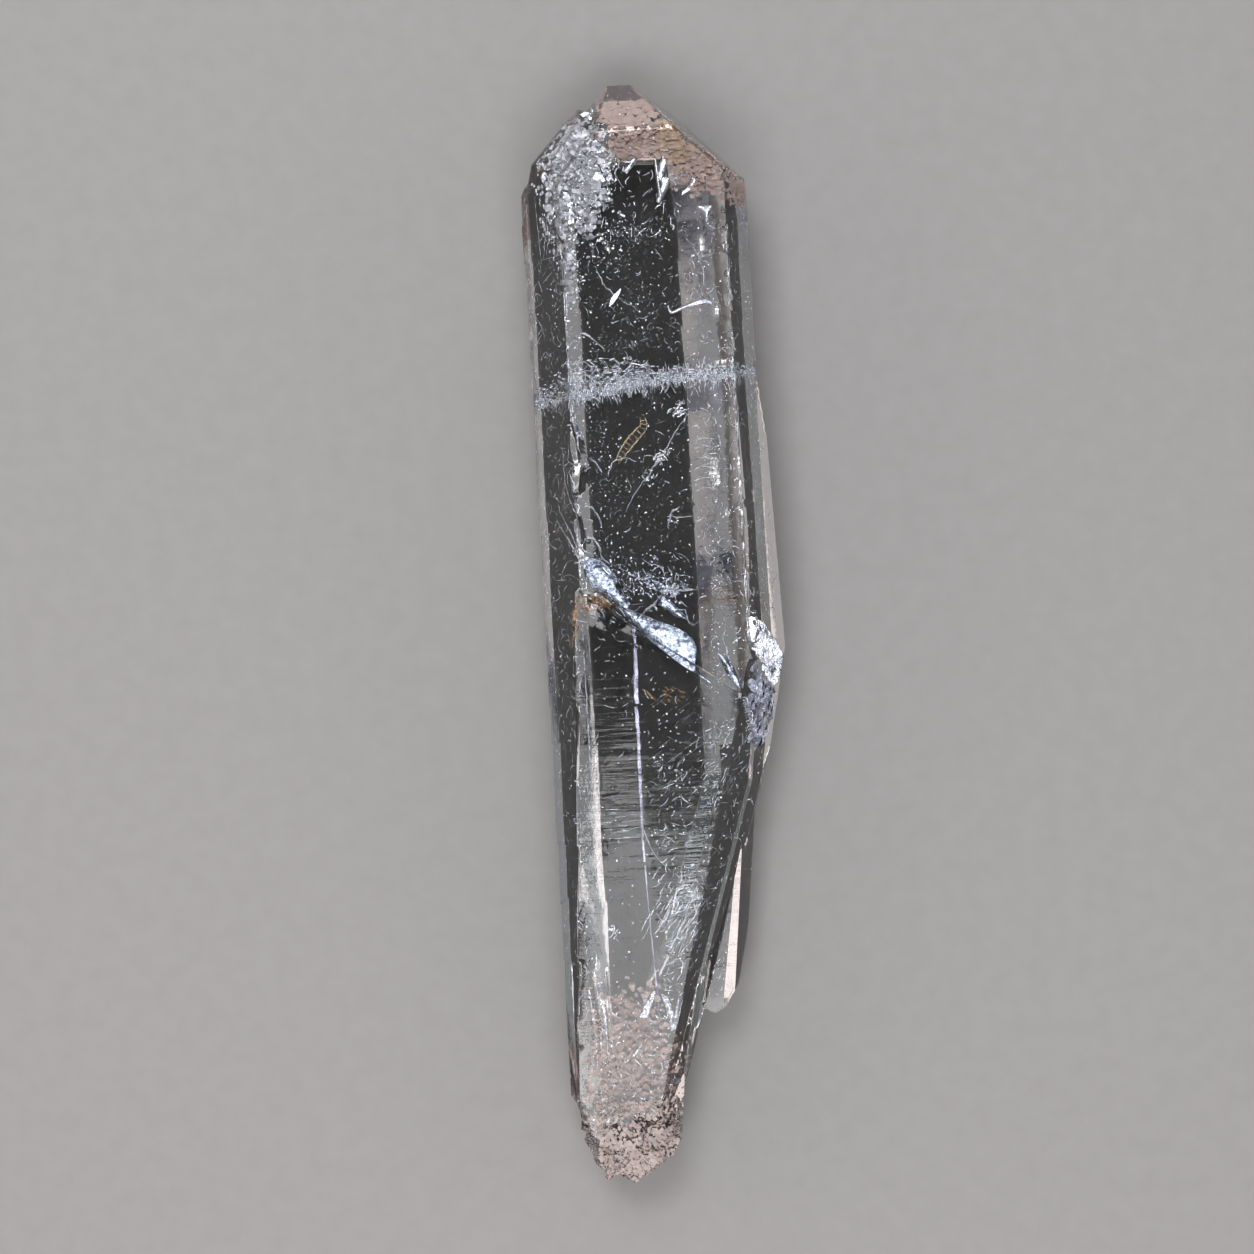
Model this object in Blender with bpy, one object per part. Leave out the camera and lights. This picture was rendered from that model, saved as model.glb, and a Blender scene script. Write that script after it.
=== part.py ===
"""Lemurian quartz crystal, 175 mm long, lying on its back prism face.

X runs across the crystal, Y along its long axis with the point towards +Y, Z up out of the front face.
Lengths are in millimetres and become metres when a mesh is made.

The crystal is one solid. Its shaft is a block cut by named crystal faces, each given by the direction
that it faces, its slope towards the point and one place on it. A growth layer, a small parallel point,
a side blade and the root are cut in the same way and joined to the shaft. The long front facets, growth
ledges, chips and the broken root are cut out last.
"""

import math
import random

import bmesh
import bpy
from mathutils import Euler, Matrix, Vector

MM = 0.001

# Directions that faces look in, in degrees round the long axis, from +X towards +Z
RIGHT = 0.0
FRONT_RIGHT = 30.0
FRONT = 90.0
FRONT_LEFT = 150.0
LEFT = 180.0
POINT_BACK_LEFT = 210.0
BACK_LEFT = 213.5
BACK = 270.0
BACK_RIGHT = 326.0

# Shaft: heights and edges of the prism, as seen from the point
FRONT_Z = 23.0
LEFT_EDGE_X = -19.0
LEFT_EDGE_Z = 12.4
RIGHT_EDGE_X = 16.9
RIGHT_EDGE_Z = 16.4
BACK_LEFT_X = -10.8
BACK_RIGHT_X = 5.8
SHAFT_BOTTOM_Y = -75.0
WIDEST = 30.0

# Above this height the back right face turns a little towards the point
BACK_RIGHT_TURN_Y = 66.0
BACK_RIGHT_TURN = 6.0

# The point: a short ridge at the top, and the slopes of the faces that meet there
TIP_Y = 87.6
TIP_Z = 13.4
TIP_LEFT_X = -4.3
TIP_RIGHT_X = -0.6
RHOMB_SLOPE = 38.2
FRONT_POINT_SLOPE = 49.1
RIGHT_POINT_SLOPE = 46.6
RIGHT_POINT_DIRECTION = 16.9

# Lower down the shaft narrows on both right-hand faces
TAPER_PLACE = (17.8, -13.4, 12.5)
TAPER_SLOPE = -14.2
TAPER_DIRECTION = 36.1

# Diagonal step on the front, and the two long facets that meet in a ridge below it
STEP_PLACE = (-0.4, -2.0, FRONT_Z)
STEP_ANGLE = -35.0
STEP_HEIGHT = 0.5
STEP_LEAN = 0.25
RIGHT_FACET_FALL = 5.0
LEFT_FACET_FALL = 10.0
RIDGE_X = -5.0
RIDGE_DRIFT = 0.02
CUTTER_LENGTH = 240.0
CUTTER_DEPTH = 20.0

# Growth layer that makes the right side bulge above the taper, with an overhanging lower ledge
LAYER_EDGE = (18.3, 20.0, 15.2)
LAYER_LOW = (-5.0, -28.0, 0.4)
LAYER_HIGH = (WIDEST, 45.0, FRONT_Z - 0.25)
LAYER_TAPER_PLACE = (17.65, -13.4, 12.6)
LAYER_FACES = [
    (31.0, 1.4, LAYER_EDGE),
    (-57.0, 1.4, LAYER_EDGE),
    (RIGHT, 6.5, (16.9, 39.5, 16.0)),
    (FRONT, 30.0, (14.0, 41.0, FRONT_Z)),
    (TAPER_DIRECTION, TAPER_SLOPE, LAYER_TAPER_PLACE),
    (-TAPER_DIRECTION, TAPER_SLOPE, LAYER_TAPER_PLACE),
]

# Small point that stands beside the main one, at its left
SECOND_TIP = (-9.4, 83.7, 16.1)
SECOND_LEFT_EDGE = (LEFT_EDGE_X - 0.15, 68.0, LEFT_EDGE_Z)
SECOND_LOW = (-19.4, 40.0, 3.0)
SECOND_HIGH = (-3.0, 90.0, 22.2)
SECOND_FACES = [
    (FRONT_LEFT, RHOMB_SLOPE, SECOND_TIP),
    (POINT_BACK_LEFT, RHOMB_SLOPE, SECOND_TIP),
    (8.0, 71.0, SECOND_TIP),
    (FRONT, FRONT_POINT_SLOPE, (-9.3, 80.0, 21.0)),
    (FRONT_LEFT, -0.5, SECOND_LEFT_EDGE),
    (BACK_LEFT, -0.5, SECOND_LEFT_EDGE),
    (LEFT, 14.0, (-18.4, 69.6, 13.0)),
]

# Thin blade at the lower right, which ends free of the root
BLADE_LOW = (-8.0, -66.0, 3.6)
BLADE_HIGH = (20.0, -18.0, 13.6)
BLADE_FACES = [
    (RIGHT, -6.5, (13.2, -27.6, 9.0)),
    (RIGHT, -13.0, (10.3, -50.5, 9.0)),
    (RIGHT, -32.0, (7.9, -58.2, 9.0)),
    (RIGHT, -62.0, (5.6, -60.9, 9.0)),
    (LEFT, -62.0, (2.6, -60.2, 9.0)),
    (28.0, -7.0, (11.9, -36.0, 10.6)),
    (-32.0, -7.0, (11.9, -36.0, 7.0)),
    (FRONT, -4.0, (6.0, -52.0, 12.4)),
]

# Root: the lower end, rounded by faces before its shell-like breaks are cut
ROOT_LEFT_EDGE = (LEFT_EDGE_X + 0.1, -70.0, LEFT_EDGE_Z)
ROOT_LOW = (-18.8, -87.7, 0.6)
ROOT_HIGH = (4.0, -52.0, 19.4)
ROOT_FACES = [
    (FRONT_LEFT, -1.0, ROOT_LEFT_EDGE),
    (BACK_LEFT, -1.0, ROOT_LEFT_EDGE),
    (RIGHT, -4.5, (-0.4, -66.9, 9.0)),
    (50.0, -5.0, (-2.6, -70.0, 15.0)),
    (-52.0, -5.0, (-2.4, -70.0, 3.6)),
    (FRONT, -3.5, (-8.0, -70.0, 18.0)),
    (RIGHT, -31.0, (-2.1, -81.6, 9.0)),
    (20.0, -54.0, (-5.4, -85.6, 9.0)),
    (200.0, -58.0, (-12.4, -86.8, 9.0)),
    (170.0, -24.0, (-17.4, -81.0, 9.0)),
    (FRONT, -38.0, (-9.0, -83.6, 15.5)),
    (BACK, -34.0, (-9.0, -82.6, 2.8)),
]
ROOT_CENTRE = (-10.0, -79.0, 9.2)
ROOT_HALF_SIZE = (8.4, 8.4, 8.0)
ROOT_SCOOPS = 34
ROOT_SCOOP_SIZES = (2.6, 5.0)
ROOT_SCOOP_LIFTS = (0.35, 0.6)
GOLDEN_ANGLE = math.pi * (3.0 - math.sqrt(5.0))
CHANCE_SEED = 7

# Growth ledges: the face, the middle along Y, the length and the depth of the step
LEDGE_THICKNESS = 3.0
LEDGE_WIDTH = 60.0
LEDGES = [
    (FRONT_LEFT, 55.0, 10.0, 0.25),
    (FRONT_LEFT, 33.0, 14.0, 0.3),
    (FRONT_LEFT, 12.0, 9.0, 0.2),
    (FRONT_LEFT, -17.0, 12.0, 0.25),
    (FRONT_LEFT, -38.0, 10.0, 0.25),
    (FRONT_LEFT, -56.0, 9.0, 0.3),
    (BACK_LEFT, 46.0, 13.0, 0.25),
    (BACK_LEFT, 14.0, 10.0, 0.25),
    (BACK_LEFT, -24.0, 14.0, 0.3),
    (BACK_LEFT, -48.0, 11.0, 0.25),
    (BACK_RIGHT, 56.0, 8.0, 0.2),
    (BACK_RIGHT, 46.0, 6.0, 0.25),
]
FACE_EDGES = {
    FRONT_LEFT: (LEFT_EDGE_X, LEFT_EDGE_Z),
    BACK_LEFT: (BACK_LEFT_X, 0.0),
    BACK_RIGHT: (BACK_RIGHT_X, 0.0),
}

# Rows of small chips along the two long front edges: count, upper and lower end, place of the edge
RIGHT_CHIP_ROW = (24, 65.0, -8.0, 13.4, 23.2)
LEFT_CHIP_ROW = (13, 62.0, 6.0, -13.05, 23.15)
CHIP_WIDTHS = (0.42, 0.85)
CHIP_LENGTHS = (0.45, 3.0)
CHIP_DEPTHS = (0.38, 0.75)

# Larger chips: name, centre, half size, turn in radians
BIG_CHIPS = [
    ("shoulder_chip", (18.0, 73.6, 19.0), (2.6, 3.4, 2.8), (0.3, 0.5, 0.2)),
    ("tip_chip", (-7.6, 83.4, 20.6), (1.3, 2.2, 2.0), (0.6, 0.0, 0.4)),
    ("left_shoulder_chip", (-18.6, 75.4, 12.0), (2.4, 3.6, 4.0), (0.0, 0.2, -0.6)),
    ("left_edge_break_upper", (-12.7, 30.6, 23.4), (1.3, 3.6, 1.3), (0.1, -0.4, 0.15)),
    ("left_edge_break_middle", (-12.3, 24.4, 23.6), (1.7, 2.8, 1.4), (0.0, -0.4, -0.3)),
    ("left_edge_break_lower", (-12.9, 16.6, 23.3), (1.3, 4.0, 1.2), (0.0, -0.5, 0.2)),
    ("step_left_chip", (-11.6, 3.6, 24.4), (3.6, 5.0, 3.0), (0.3, -0.3, 0.9)),
    ("step_lens", (-6.6, 0.4, 24.0), (2.0, 6.4, 1.9), (0.1, 0.0, 0.9)),
]
TAPER_RIBS = 4
FIRST_RIB = Vector((18.2, -10.0, 19.6))
LAST_RIB = Vector((14.8, -23.0, 18.4))
RIB_HALF_SIZE = (1.9, 2.3, 4.6)
RIB_TURN = (0.0, -0.6, 0.3)

QUARTZ_COLOUR = (0.90, 0.87, 0.86, 1.0)
QUARTZ_ROUGHNESS = 0.05
QUARTZ_IOR = 1.544


def direction(around, slope):
    """The unit normal of a face that looks AROUND the long axis and slopes towards the point by SLOPE."""
    turn = math.radians(around)
    rise = math.radians(slope)
    return Vector((math.cos(turn) * math.cos(rise), math.sin(rise), math.sin(turn) * math.cos(rise)))


def to_object(name, shape, collection):
    """Turns a bmesh in millimetres into an object with its mesh in metres."""
    bmesh.ops.recalc_face_normals(shape, faces=shape.faces)
    bmesh.ops.scale(shape, vec=(MM, MM, MM), verts=shape.verts)
    mesh = bpy.data.meshes.new(name)
    shape.to_mesh(mesh)
    shape.free()
    made = bpy.data.objects.new(name, mesh)
    collection.objects.link(made)
    return made


def cut_face(shape, place, normal):
    """Cuts away what lies outside a plane and closes the cut with one flat face."""
    everything = list(shape.verts) + list(shape.edges) + list(shape.faces)
    cut = bmesh.ops.bisect_plane(
        shape, geom=everything, plane_co=place, plane_no=normal, clear_outer=True
    )
    rim = [item for item in cut["geom_cut"] if isinstance(item, bmesh.types.BMEdge)]
    bmesh.ops.edgenet_fill(shape, edges=rim)


def faceted_block(name, low, high, faces, collection):
    """A block from LOW to HIGH, cut back by FACES, each (around, slope, place)."""
    shape = bmesh.new()
    bmesh.ops.create_cube(shape, size=1.0)
    bmesh.ops.scale(shape, vec=Vector(high) - Vector(low), verts=shape.verts)
    bmesh.ops.translate(shape, vec=(Vector(high) + Vector(low)) / 2, verts=shape.verts)
    for around, slope, place in faces:
        cut_face(shape, place, direction(around, slope))
    return to_object(name, shape, collection)


def scoop(name, centre, half_size, turn, collection):
    """An egg-shaped cutter, which leaves a shell-like break."""
    shape = bmesh.new()
    bmesh.ops.create_icosphere(shape, subdivisions=2, radius=1.0)
    bmesh.ops.scale(shape, vec=half_size, verts=shape.verts)
    bmesh.ops.rotate(shape, matrix=Euler(turn).to_matrix(), verts=shape.verts)
    bmesh.ops.translate(shape, vec=centre, verts=shape.verts)
    return to_object(name, shape, collection)


def shaft(collection):
    """The main crystal: six prism faces, the five faces of its point and the two that narrow it."""
    left_tip = (TIP_LEFT_X, TIP_Y, TIP_Z)
    right_tip = (TIP_RIGHT_X, TIP_Y, TIP_Z)
    prism = [
        (FRONT, 0.0, (0.0, 0.0, FRONT_Z)),
        (FRONT_RIGHT, 0.0, (RIGHT_EDGE_X, 0.0, RIGHT_EDGE_Z)),
        (BACK_RIGHT, 0.0, (BACK_RIGHT_X, 0.0, 0.0)),
        (BACK_RIGHT, BACK_RIGHT_TURN, (BACK_RIGHT_X, BACK_RIGHT_TURN_Y, 0.0)),
        (BACK_LEFT, 0.0, (BACK_LEFT_X, 0.0, 0.0)),
        (FRONT_LEFT, 0.0, (LEFT_EDGE_X, 0.0, LEFT_EDGE_Z)),
    ]
    point = [
        (FRONT, FRONT_POINT_SLOPE, left_tip),
        (BACK, FRONT_POINT_SLOPE, left_tip),
        (RIGHT_POINT_DIRECTION, RIGHT_POINT_SLOPE, right_tip),
        (FRONT_LEFT, RHOMB_SLOPE, left_tip),
        (POINT_BACK_LEFT, RHOMB_SLOPE, left_tip),
    ]
    taper = [
        (TAPER_DIRECTION, TAPER_SLOPE, TAPER_PLACE),
        (-TAPER_DIRECTION, TAPER_SLOPE, TAPER_PLACE),
    ]
    low = (-WIDEST, SHAFT_BOTTOM_Y, 0.0)
    high = (WIDEST, TIP_Y + 1.0, FRONT_Z + 1.0)
    return faceted_block("quartz_crystal", low, high, prism + point + taper, collection)


def grown_pieces(collection):
    """What has grown on the shaft: the right layer, the second point, the blade and the root."""
    faceted_block("growth_layer", LAYER_LOW, LAYER_HIGH, LAYER_FACES, collection)
    faceted_block("second_point", SECOND_LOW, SECOND_HIGH, SECOND_FACES, collection)
    faceted_block("side_blade", BLADE_LOW, BLADE_HIGH, BLADE_FACES, collection)
    faceted_block("root", ROOT_LOW, ROOT_HIGH, ROOT_FACES, collection)


def slab_above(name, hinge, hinge_line, outward, fall, step, collection):
    """A thick slab below the step, whose underside falls away from its hinge line by FALL degrees."""
    down = outward * math.cos(math.radians(fall)) - Vector((0.0, 0.0, math.sin(math.radians(fall))))
    up = hinge_line.cross(down)
    if up.z < 0.0:
        up = -up
    shape = bmesh.new()
    bmesh.ops.create_cube(shape, size=1.0)
    bmesh.ops.scale(shape, vec=(CUTTER_LENGTH, CUTTER_LENGTH, CUTTER_DEPTH), verts=shape.verts)
    bmesh.ops.translate(shape, vec=(0.0, 0.0, CUTTER_DEPTH / 2), verts=shape.verts)
    axes = Matrix((hinge_line, up.cross(hinge_line), up)).transposed()
    bmesh.ops.rotate(shape, matrix=axes, verts=shape.verts)
    bmesh.ops.translate(shape, vec=hinge, verts=shape.verts)
    cut_face(shape, STEP_PLACE, step)
    return to_object(name, shape, collection)


def facet_cutters(collection):
    """What is taken off the front below the diagonal step: one slab above each long facet."""
    along = math.radians(STEP_ANGLE)
    step_line = Vector((math.cos(along), math.sin(along), 0.0))
    down_slope = Vector((step_line.y, -step_line.x, 0.0))
    step_face = Vector((0.0, 0.0, STEP_LEAN)) - down_slope
    low_place = Vector(STEP_PLACE) - Vector((0.0, 0.0, STEP_HEIGHT))
    ridge_top = low_place + (RIDGE_X - low_place.x) / step_line.x * step_line
    ridge = Vector((RIDGE_DRIFT, -1.0, 0.0))
    ridge.z = -math.tan(math.radians(RIGHT_FACET_FALL)) * ridge.dot(down_slope)
    ridge.normalize()
    to_left = Vector((-1.0, -RIDGE_DRIFT, 0.0))
    slab_above("right_facet", low_place, step_line, down_slope, RIGHT_FACET_FALL, step_face, collection)
    slab_above("left_facet", ridge_top, ridge, to_left, LEFT_FACET_FALL, step_face, collection)


def ledge(name, around, middle, length, depth, collection):
    """A slab that grazes a long face, so that it leaves a step at its upper end and fades out below."""
    x, z = FACE_EDGES[around]
    outward = direction(around, 0.0)
    long_axis = Vector((0.0, 1.0, 0.0))
    axes = Matrix((long_axis.cross(outward), long_axis, outward)).transposed()
    graze = Matrix.Rotation(-math.atan(depth / length), 3, "X")
    shape = bmesh.new()
    bmesh.ops.create_cube(shape, size=1.0)
    bmesh.ops.scale(shape, vec=(LEDGE_WIDTH, length, LEDGE_THICKNESS), verts=shape.verts)
    bmesh.ops.translate(shape, vec=(0.0, -length / 2, LEDGE_THICKNESS / 2), verts=shape.verts)
    bmesh.ops.rotate(shape, matrix=axes @ graze, verts=shape.verts)
    top = Vector((x, middle + length / 2, z)) - outward * depth
    bmesh.ops.translate(shape, vec=top, verts=shape.verts)
    return to_object(name, shape, collection)


def ledges(collection):
    for number, (around, middle, length, depth) in enumerate(LEDGES, 1):
        ledge(f"ledge_{number}", around, middle, length, depth, collection)


def chip_row(name, row, lean, chance, collection):
    """Chips of chance size along one long edge: many small ones, a few large, and uneven gaps."""
    count, top, bottom, x, z = row
    for number in range(count):
        along = (number + chance.uniform(-0.5, 0.5)) / (count - 1)
        y = top + (bottom - top) * along
        large = chance.random() ** 2
        sizes = (CHIP_WIDTHS, CHIP_LENGTHS, CHIP_DEPTHS)
        half_size = [low + (high - low) * large for low, high in sizes]
        turn = (0.0, lean, chance.uniform(-0.3, 0.3))
        scoop(f"{name}_{number + 1}", (x, y, z), half_size, turn, collection)


def chips(collection):
    """Both rows of edge chips, the larger chips, and the ribbed break at the top of the taper."""
    chance = random.Random(CHANCE_SEED)
    chip_row("right_chip", RIGHT_CHIP_ROW, 0.5, chance, collection)
    chip_row("left_chip", LEFT_CHIP_ROW, -0.5, chance, collection)
    for name, centre, half_size, turn in BIG_CHIPS:
        scoop(name, centre, half_size, turn, collection)
    for rib in range(TAPER_RIBS):
        centre = FIRST_RIB.lerp(LAST_RIB, rib / (TAPER_RIBS - 1))
        scoop(f"taper_rib_{rib + 1}", centre, RIB_HALF_SIZE, RIB_TURN, collection)


def root_breaks(collection):
    """Shell-like breaks spread over the lower end on a golden-angle spiral."""
    chance = random.Random(CHANCE_SEED)
    for number in range(ROOT_SCOOPS):
        down = -1.0 + 1.25 * (number + 0.5) / ROOT_SCOOPS
        ring = math.sqrt(1.0 - down * down)
        turn = number * GOLDEN_ANGLE
        out = (ring * math.cos(turn), down, ring * math.sin(turn))
        size = chance.uniform(*ROOT_SCOOP_SIZES)
        lift = size * chance.uniform(*ROOT_SCOOP_LIFTS)
        place = [ROOT_CENTRE[axis] + out[axis] * (ROOT_HALF_SIZE[axis] + lift) for axis in range(3)]
        half_size = (size, size * chance.uniform(0.6, 1.0), size * chance.uniform(0.6, 1.0))
        tilt = [chance.uniform(0.0, math.pi) for _ in range(3)]
        scoop(f"root_break_{number + 1}", place, half_size, tilt, collection)


def quartz_material():
    material = bpy.data.materials.new("clear quartz")
    material.use_nodes = True
    shader = material.node_tree.nodes["Principled BSDF"]
    shader.inputs["Base Color"].default_value = QUARTZ_COLOUR
    shader.inputs["Metallic"].default_value = 0.0
    shader.inputs["Roughness"].default_value = QUARTZ_ROUGHNESS
    shader.inputs["IOR"].default_value = QUARTZ_IOR
    shader.inputs["Transmission Weight"].default_value = 1.0
    return material


def new_collection(name):
    made = bpy.data.collections.new(name)
    bpy.context.scene.collection.children.link(made)
    return made


def combine(target, operation, tools):
    """Joins or cuts with every object of a collection, and keeps those helpers out of the render."""
    modifier = target.modifiers.new(tools.name, "BOOLEAN")
    modifier.operation = operation
    modifier.solver = "EXACT"
    modifier.operand_type = "COLLECTION"
    modifier.collection = tools
    tools.hide_render = True
    for helper in tools.objects:
        helper.hide_render = True
        helper.display_type = "WIRE"


def main():
    for thing in list(bpy.data.objects):
        bpy.data.objects.remove(thing, do_unlink=True)
    crystal = shaft(new_collection("lemurian quartz crystal"))
    crystal.data.materials.append(quartz_material())
    grown = new_collection("grown on the shaft")
    facets = new_collection("cut for the long facets")
    worn = new_collection("cut for ledges and chips")
    grown_pieces(grown)
    facet_cutters(facets)
    for cutters in (ledges, chips, root_breaks):
        cutters(worn)
    combine(crystal, "UNION", grown)
    combine(crystal, "DIFFERENCE", facets)
    combine(crystal, "DIFFERENCE", worn)


main()
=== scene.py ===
"""The lemurian quartz crystal as it lies on its back face: clear quartz with growth lines, cracks and veils.

Sizes are in millimetres and become metres when a mesh is made. X runs across the crystal, Y along it
towards the point, Z up out of the front face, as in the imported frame. What lies inside the crystal is
placed by its X and Y, and by how deep it sits between the front and the back surface there.
"""

import math

import bmesh
import bpy
import numpy as np
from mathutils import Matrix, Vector
from mathutils.bvhtree import BVHTree


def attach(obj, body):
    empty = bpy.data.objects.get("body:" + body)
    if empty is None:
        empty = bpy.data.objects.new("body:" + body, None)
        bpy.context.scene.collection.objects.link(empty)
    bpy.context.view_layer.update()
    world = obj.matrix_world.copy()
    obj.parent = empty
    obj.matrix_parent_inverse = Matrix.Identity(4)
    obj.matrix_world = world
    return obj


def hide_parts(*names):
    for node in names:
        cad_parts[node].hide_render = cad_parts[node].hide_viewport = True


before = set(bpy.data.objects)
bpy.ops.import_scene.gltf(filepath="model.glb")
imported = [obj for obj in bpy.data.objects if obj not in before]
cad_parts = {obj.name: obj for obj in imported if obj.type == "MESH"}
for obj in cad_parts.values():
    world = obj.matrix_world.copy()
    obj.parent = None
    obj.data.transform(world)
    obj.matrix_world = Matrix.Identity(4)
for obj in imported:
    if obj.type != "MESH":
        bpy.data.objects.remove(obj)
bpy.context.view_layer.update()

MM = 0.001
NODE = "quartz_crystal"

# Camera: straight above, as far as the photo's perspective asks, turned by the crystal's lean
PHOTO_SIDE_MM = 200.6
LENS_MM = 90.0
SENSOR_MM = 36.0
EYE_LEVEL_MM = 12.5
VIEW_CENTRE_MM = (-5.9, 1.2)
LEAN_DEGREES = -3.2
EYE_MM = (*VIEW_CENTRE_MM, EYE_LEVEL_MM + PHOTO_SIDE_MM * LENS_MM / SENSOR_MM)

QUARTZ_IOR = 1.544

# The crystal's visible body: how finely it is cut up, and from what angle an edge shows as sharp
LONGEST_EDGE_MM = 1.0
MOST_HALVINGS = 12
SHARP_DEGREES = 18.0

# The floor lies this far under the crystal, so that the two never share a surface
FLOOR_HALF_MM = 2500.0
FLOOR_GAP_MM = 0.15

# Places of the soft boxes which the breaks inside the crystal mirror to the eye
NORTH_BOX_MM = (-140.0, 420.0, 900.0)
SOUTH_BOX_MM = (-40.0, -420.0, 900.0)
LEFT_BOX_MM = (-700.0, 60.0, 300.0)
RIGHT_BOX_MM = (700.0, 0.0, 300.0)
POINT_END_BOX_MM = (0.0, 620.0, 300.0)
ROOT_END_BOX_MM = (0.0, -600.0, 150.0)

# How near breaks come to the skin, how deep the bent view ray is followed, and how steep a ribbon lies
NEAREST_MM = 0.25
DEEPEST_MM = 9.0
HAIR_NEAREST_MM = 0.08
TILE_ROOM_MM = 0.6
STEEPEST_LIFT = 0.3

# A soft box that stands lower than this over a face doesn't light what lies under it
LEAST_FACING = 0.2

CHANCE_SEED = 41
chance = np.random.default_rng(CHANCE_SEED)


# Shapes as arrays

def noise_field(points, seed, octaves=4, rough=0.5):
    """Smooth three-dimensional value noise in -1..1, at points already divided by the feature size.

    Each octave mixes eight lattice values, hashed from whole-number corners, with smoothstep weights;
    each next octave has twice the frequency and ROUGH times the height.
    """
    total = np.zeros(len(points))
    height = 1.0
    whole = 0.0
    place = np.asarray(points, dtype=np.float64)
    for octave in range(octaves):
        cell = np.floor(place).astype(np.int64)
        part = place - cell
        part = part * part * (3.0 - 2.0 * part)
        value = np.zeros(len(place))
        for corner in range(8):
            step = np.array([corner & 1, (corner >> 1) & 1, (corner >> 2) & 1])
            key = (cell + step) @ np.array([73856093, 19349663, 83492791]) + (seed + octave) * 2654435
            key = (key ^ (key >> 13)) * 1274126177 & 0x7FFFFFFF
            key = (key ^ (key >> 15)) * 668265263 & 0x7FFFFFFF
            weight = np.prod(np.where(step, part, 1.0 - part), axis=1)
            value += weight * (key / 0x7FFFFFFF * 2.0 - 1.0)
        total += value * height
        whole += height
        height *= rough
        place = place * 2.0 + 17.3
    return total / whole


def smooth_step(value, low, high):
    """0 below LOW, 1 above HIGH, and an S-curve between."""
    t = np.clip((value - low) / (high - low), 0.0, 1.0)
    return t * t * (3.0 - 2.0 * t)


def unit(vectors):
    """The same vectors, each one long."""
    return vectors / np.maximum(np.linalg.norm(vectors, axis=-1, keepdims=True), 1e-12)


def curve_through(points, count):
    """COUNT points on a smooth curve through the given ones.

    Between two points the curve is the cubic whose slopes there are half the step between their
    neighbours (Catmull-Rom); the end points stand in for the missing neighbours.
    """
    points = np.asarray(points, dtype=float)
    padded = np.concatenate([points[:1], points, points[-1:]])
    place = np.linspace(0.0, len(points) - 1.0, count)
    index = np.minimum(place.astype(int), len(points) - 2)
    t = (place - index)[:, None]
    before, start, end, after = (padded[index + shift] for shift in range(4))
    return 0.5 * (2.0 * start + (end - before) * t
                  + (2.0 * before - 5.0 * start + 4.0 * end - after) * t ** 2
                  + (3.0 * start - before - 3.0 * end + after) * t ** 3)


def joined(parts):
    """One pair of arrays, points and triangles, from several."""
    starts = np.cumsum([0] + [len(points) for points, _ in parts[:-1]])
    points = np.concatenate([points for points, _ in parts])
    return points, np.concatenate([faces + start for (_, faces), start in zip(parts, starts)])


def halved(quads):
    """Two triangles for each four-sided face."""
    return np.concatenate([quads[:, [0, 1, 2]], quads[:, [0, 2, 3]]])


def flakes(centres, normals, sizes, corners=6, ragged=0.35, twist=None):
    """Thin flakes, each a ring of corners with a point above and one below.

    Corner k of a flake is its centre + size_a * r_k * cos(a_k) * side + size_b * r_k * sin(a_k) * lift,
    with a_k evenly round and r_k in 1 - ragged..1; the points are centre +- thickness * normal.
    """
    count = len(centres)
    normals = unit(normals)
    helper = unit(chance.normal(size=(count, 3))) if twist is None else np.broadcast_to(twist, (count, 3))
    side = unit(np.cross(normals, helper))
    lift = np.cross(normals, side)
    angle = np.linspace(0.0, 2.0 * np.pi, corners, endpoint=False)
    reach = 1.0 - ragged * chance.random((count, corners))
    across = (sizes[:, :1] * reach * np.cos(angle))[..., None] * side[:, None]
    along = (sizes[:, 1:2] * reach * np.sin(angle))[..., None] * lift[:, None]
    ring = centres[:, None] + across + along
    peak = normals * sizes[:, 2:3]
    points = np.concatenate([ring, (centres + peak)[:, None], (centres - peak)[:, None]], axis=1)
    start = np.arange(count)[:, None] * (corners + 2)
    this = np.arange(corners)
    after = (this + 1) % corners
    top = np.stack([start + corners + 0 * this, start + this, start + after], axis=-1)
    bottom = np.stack([start + corners + 1 + 0 * this, start + after, start + this], axis=-1)
    return points.reshape(-1, 3), np.concatenate([top.reshape(-1, 3), bottom.reshape(-1, 3)])


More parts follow.
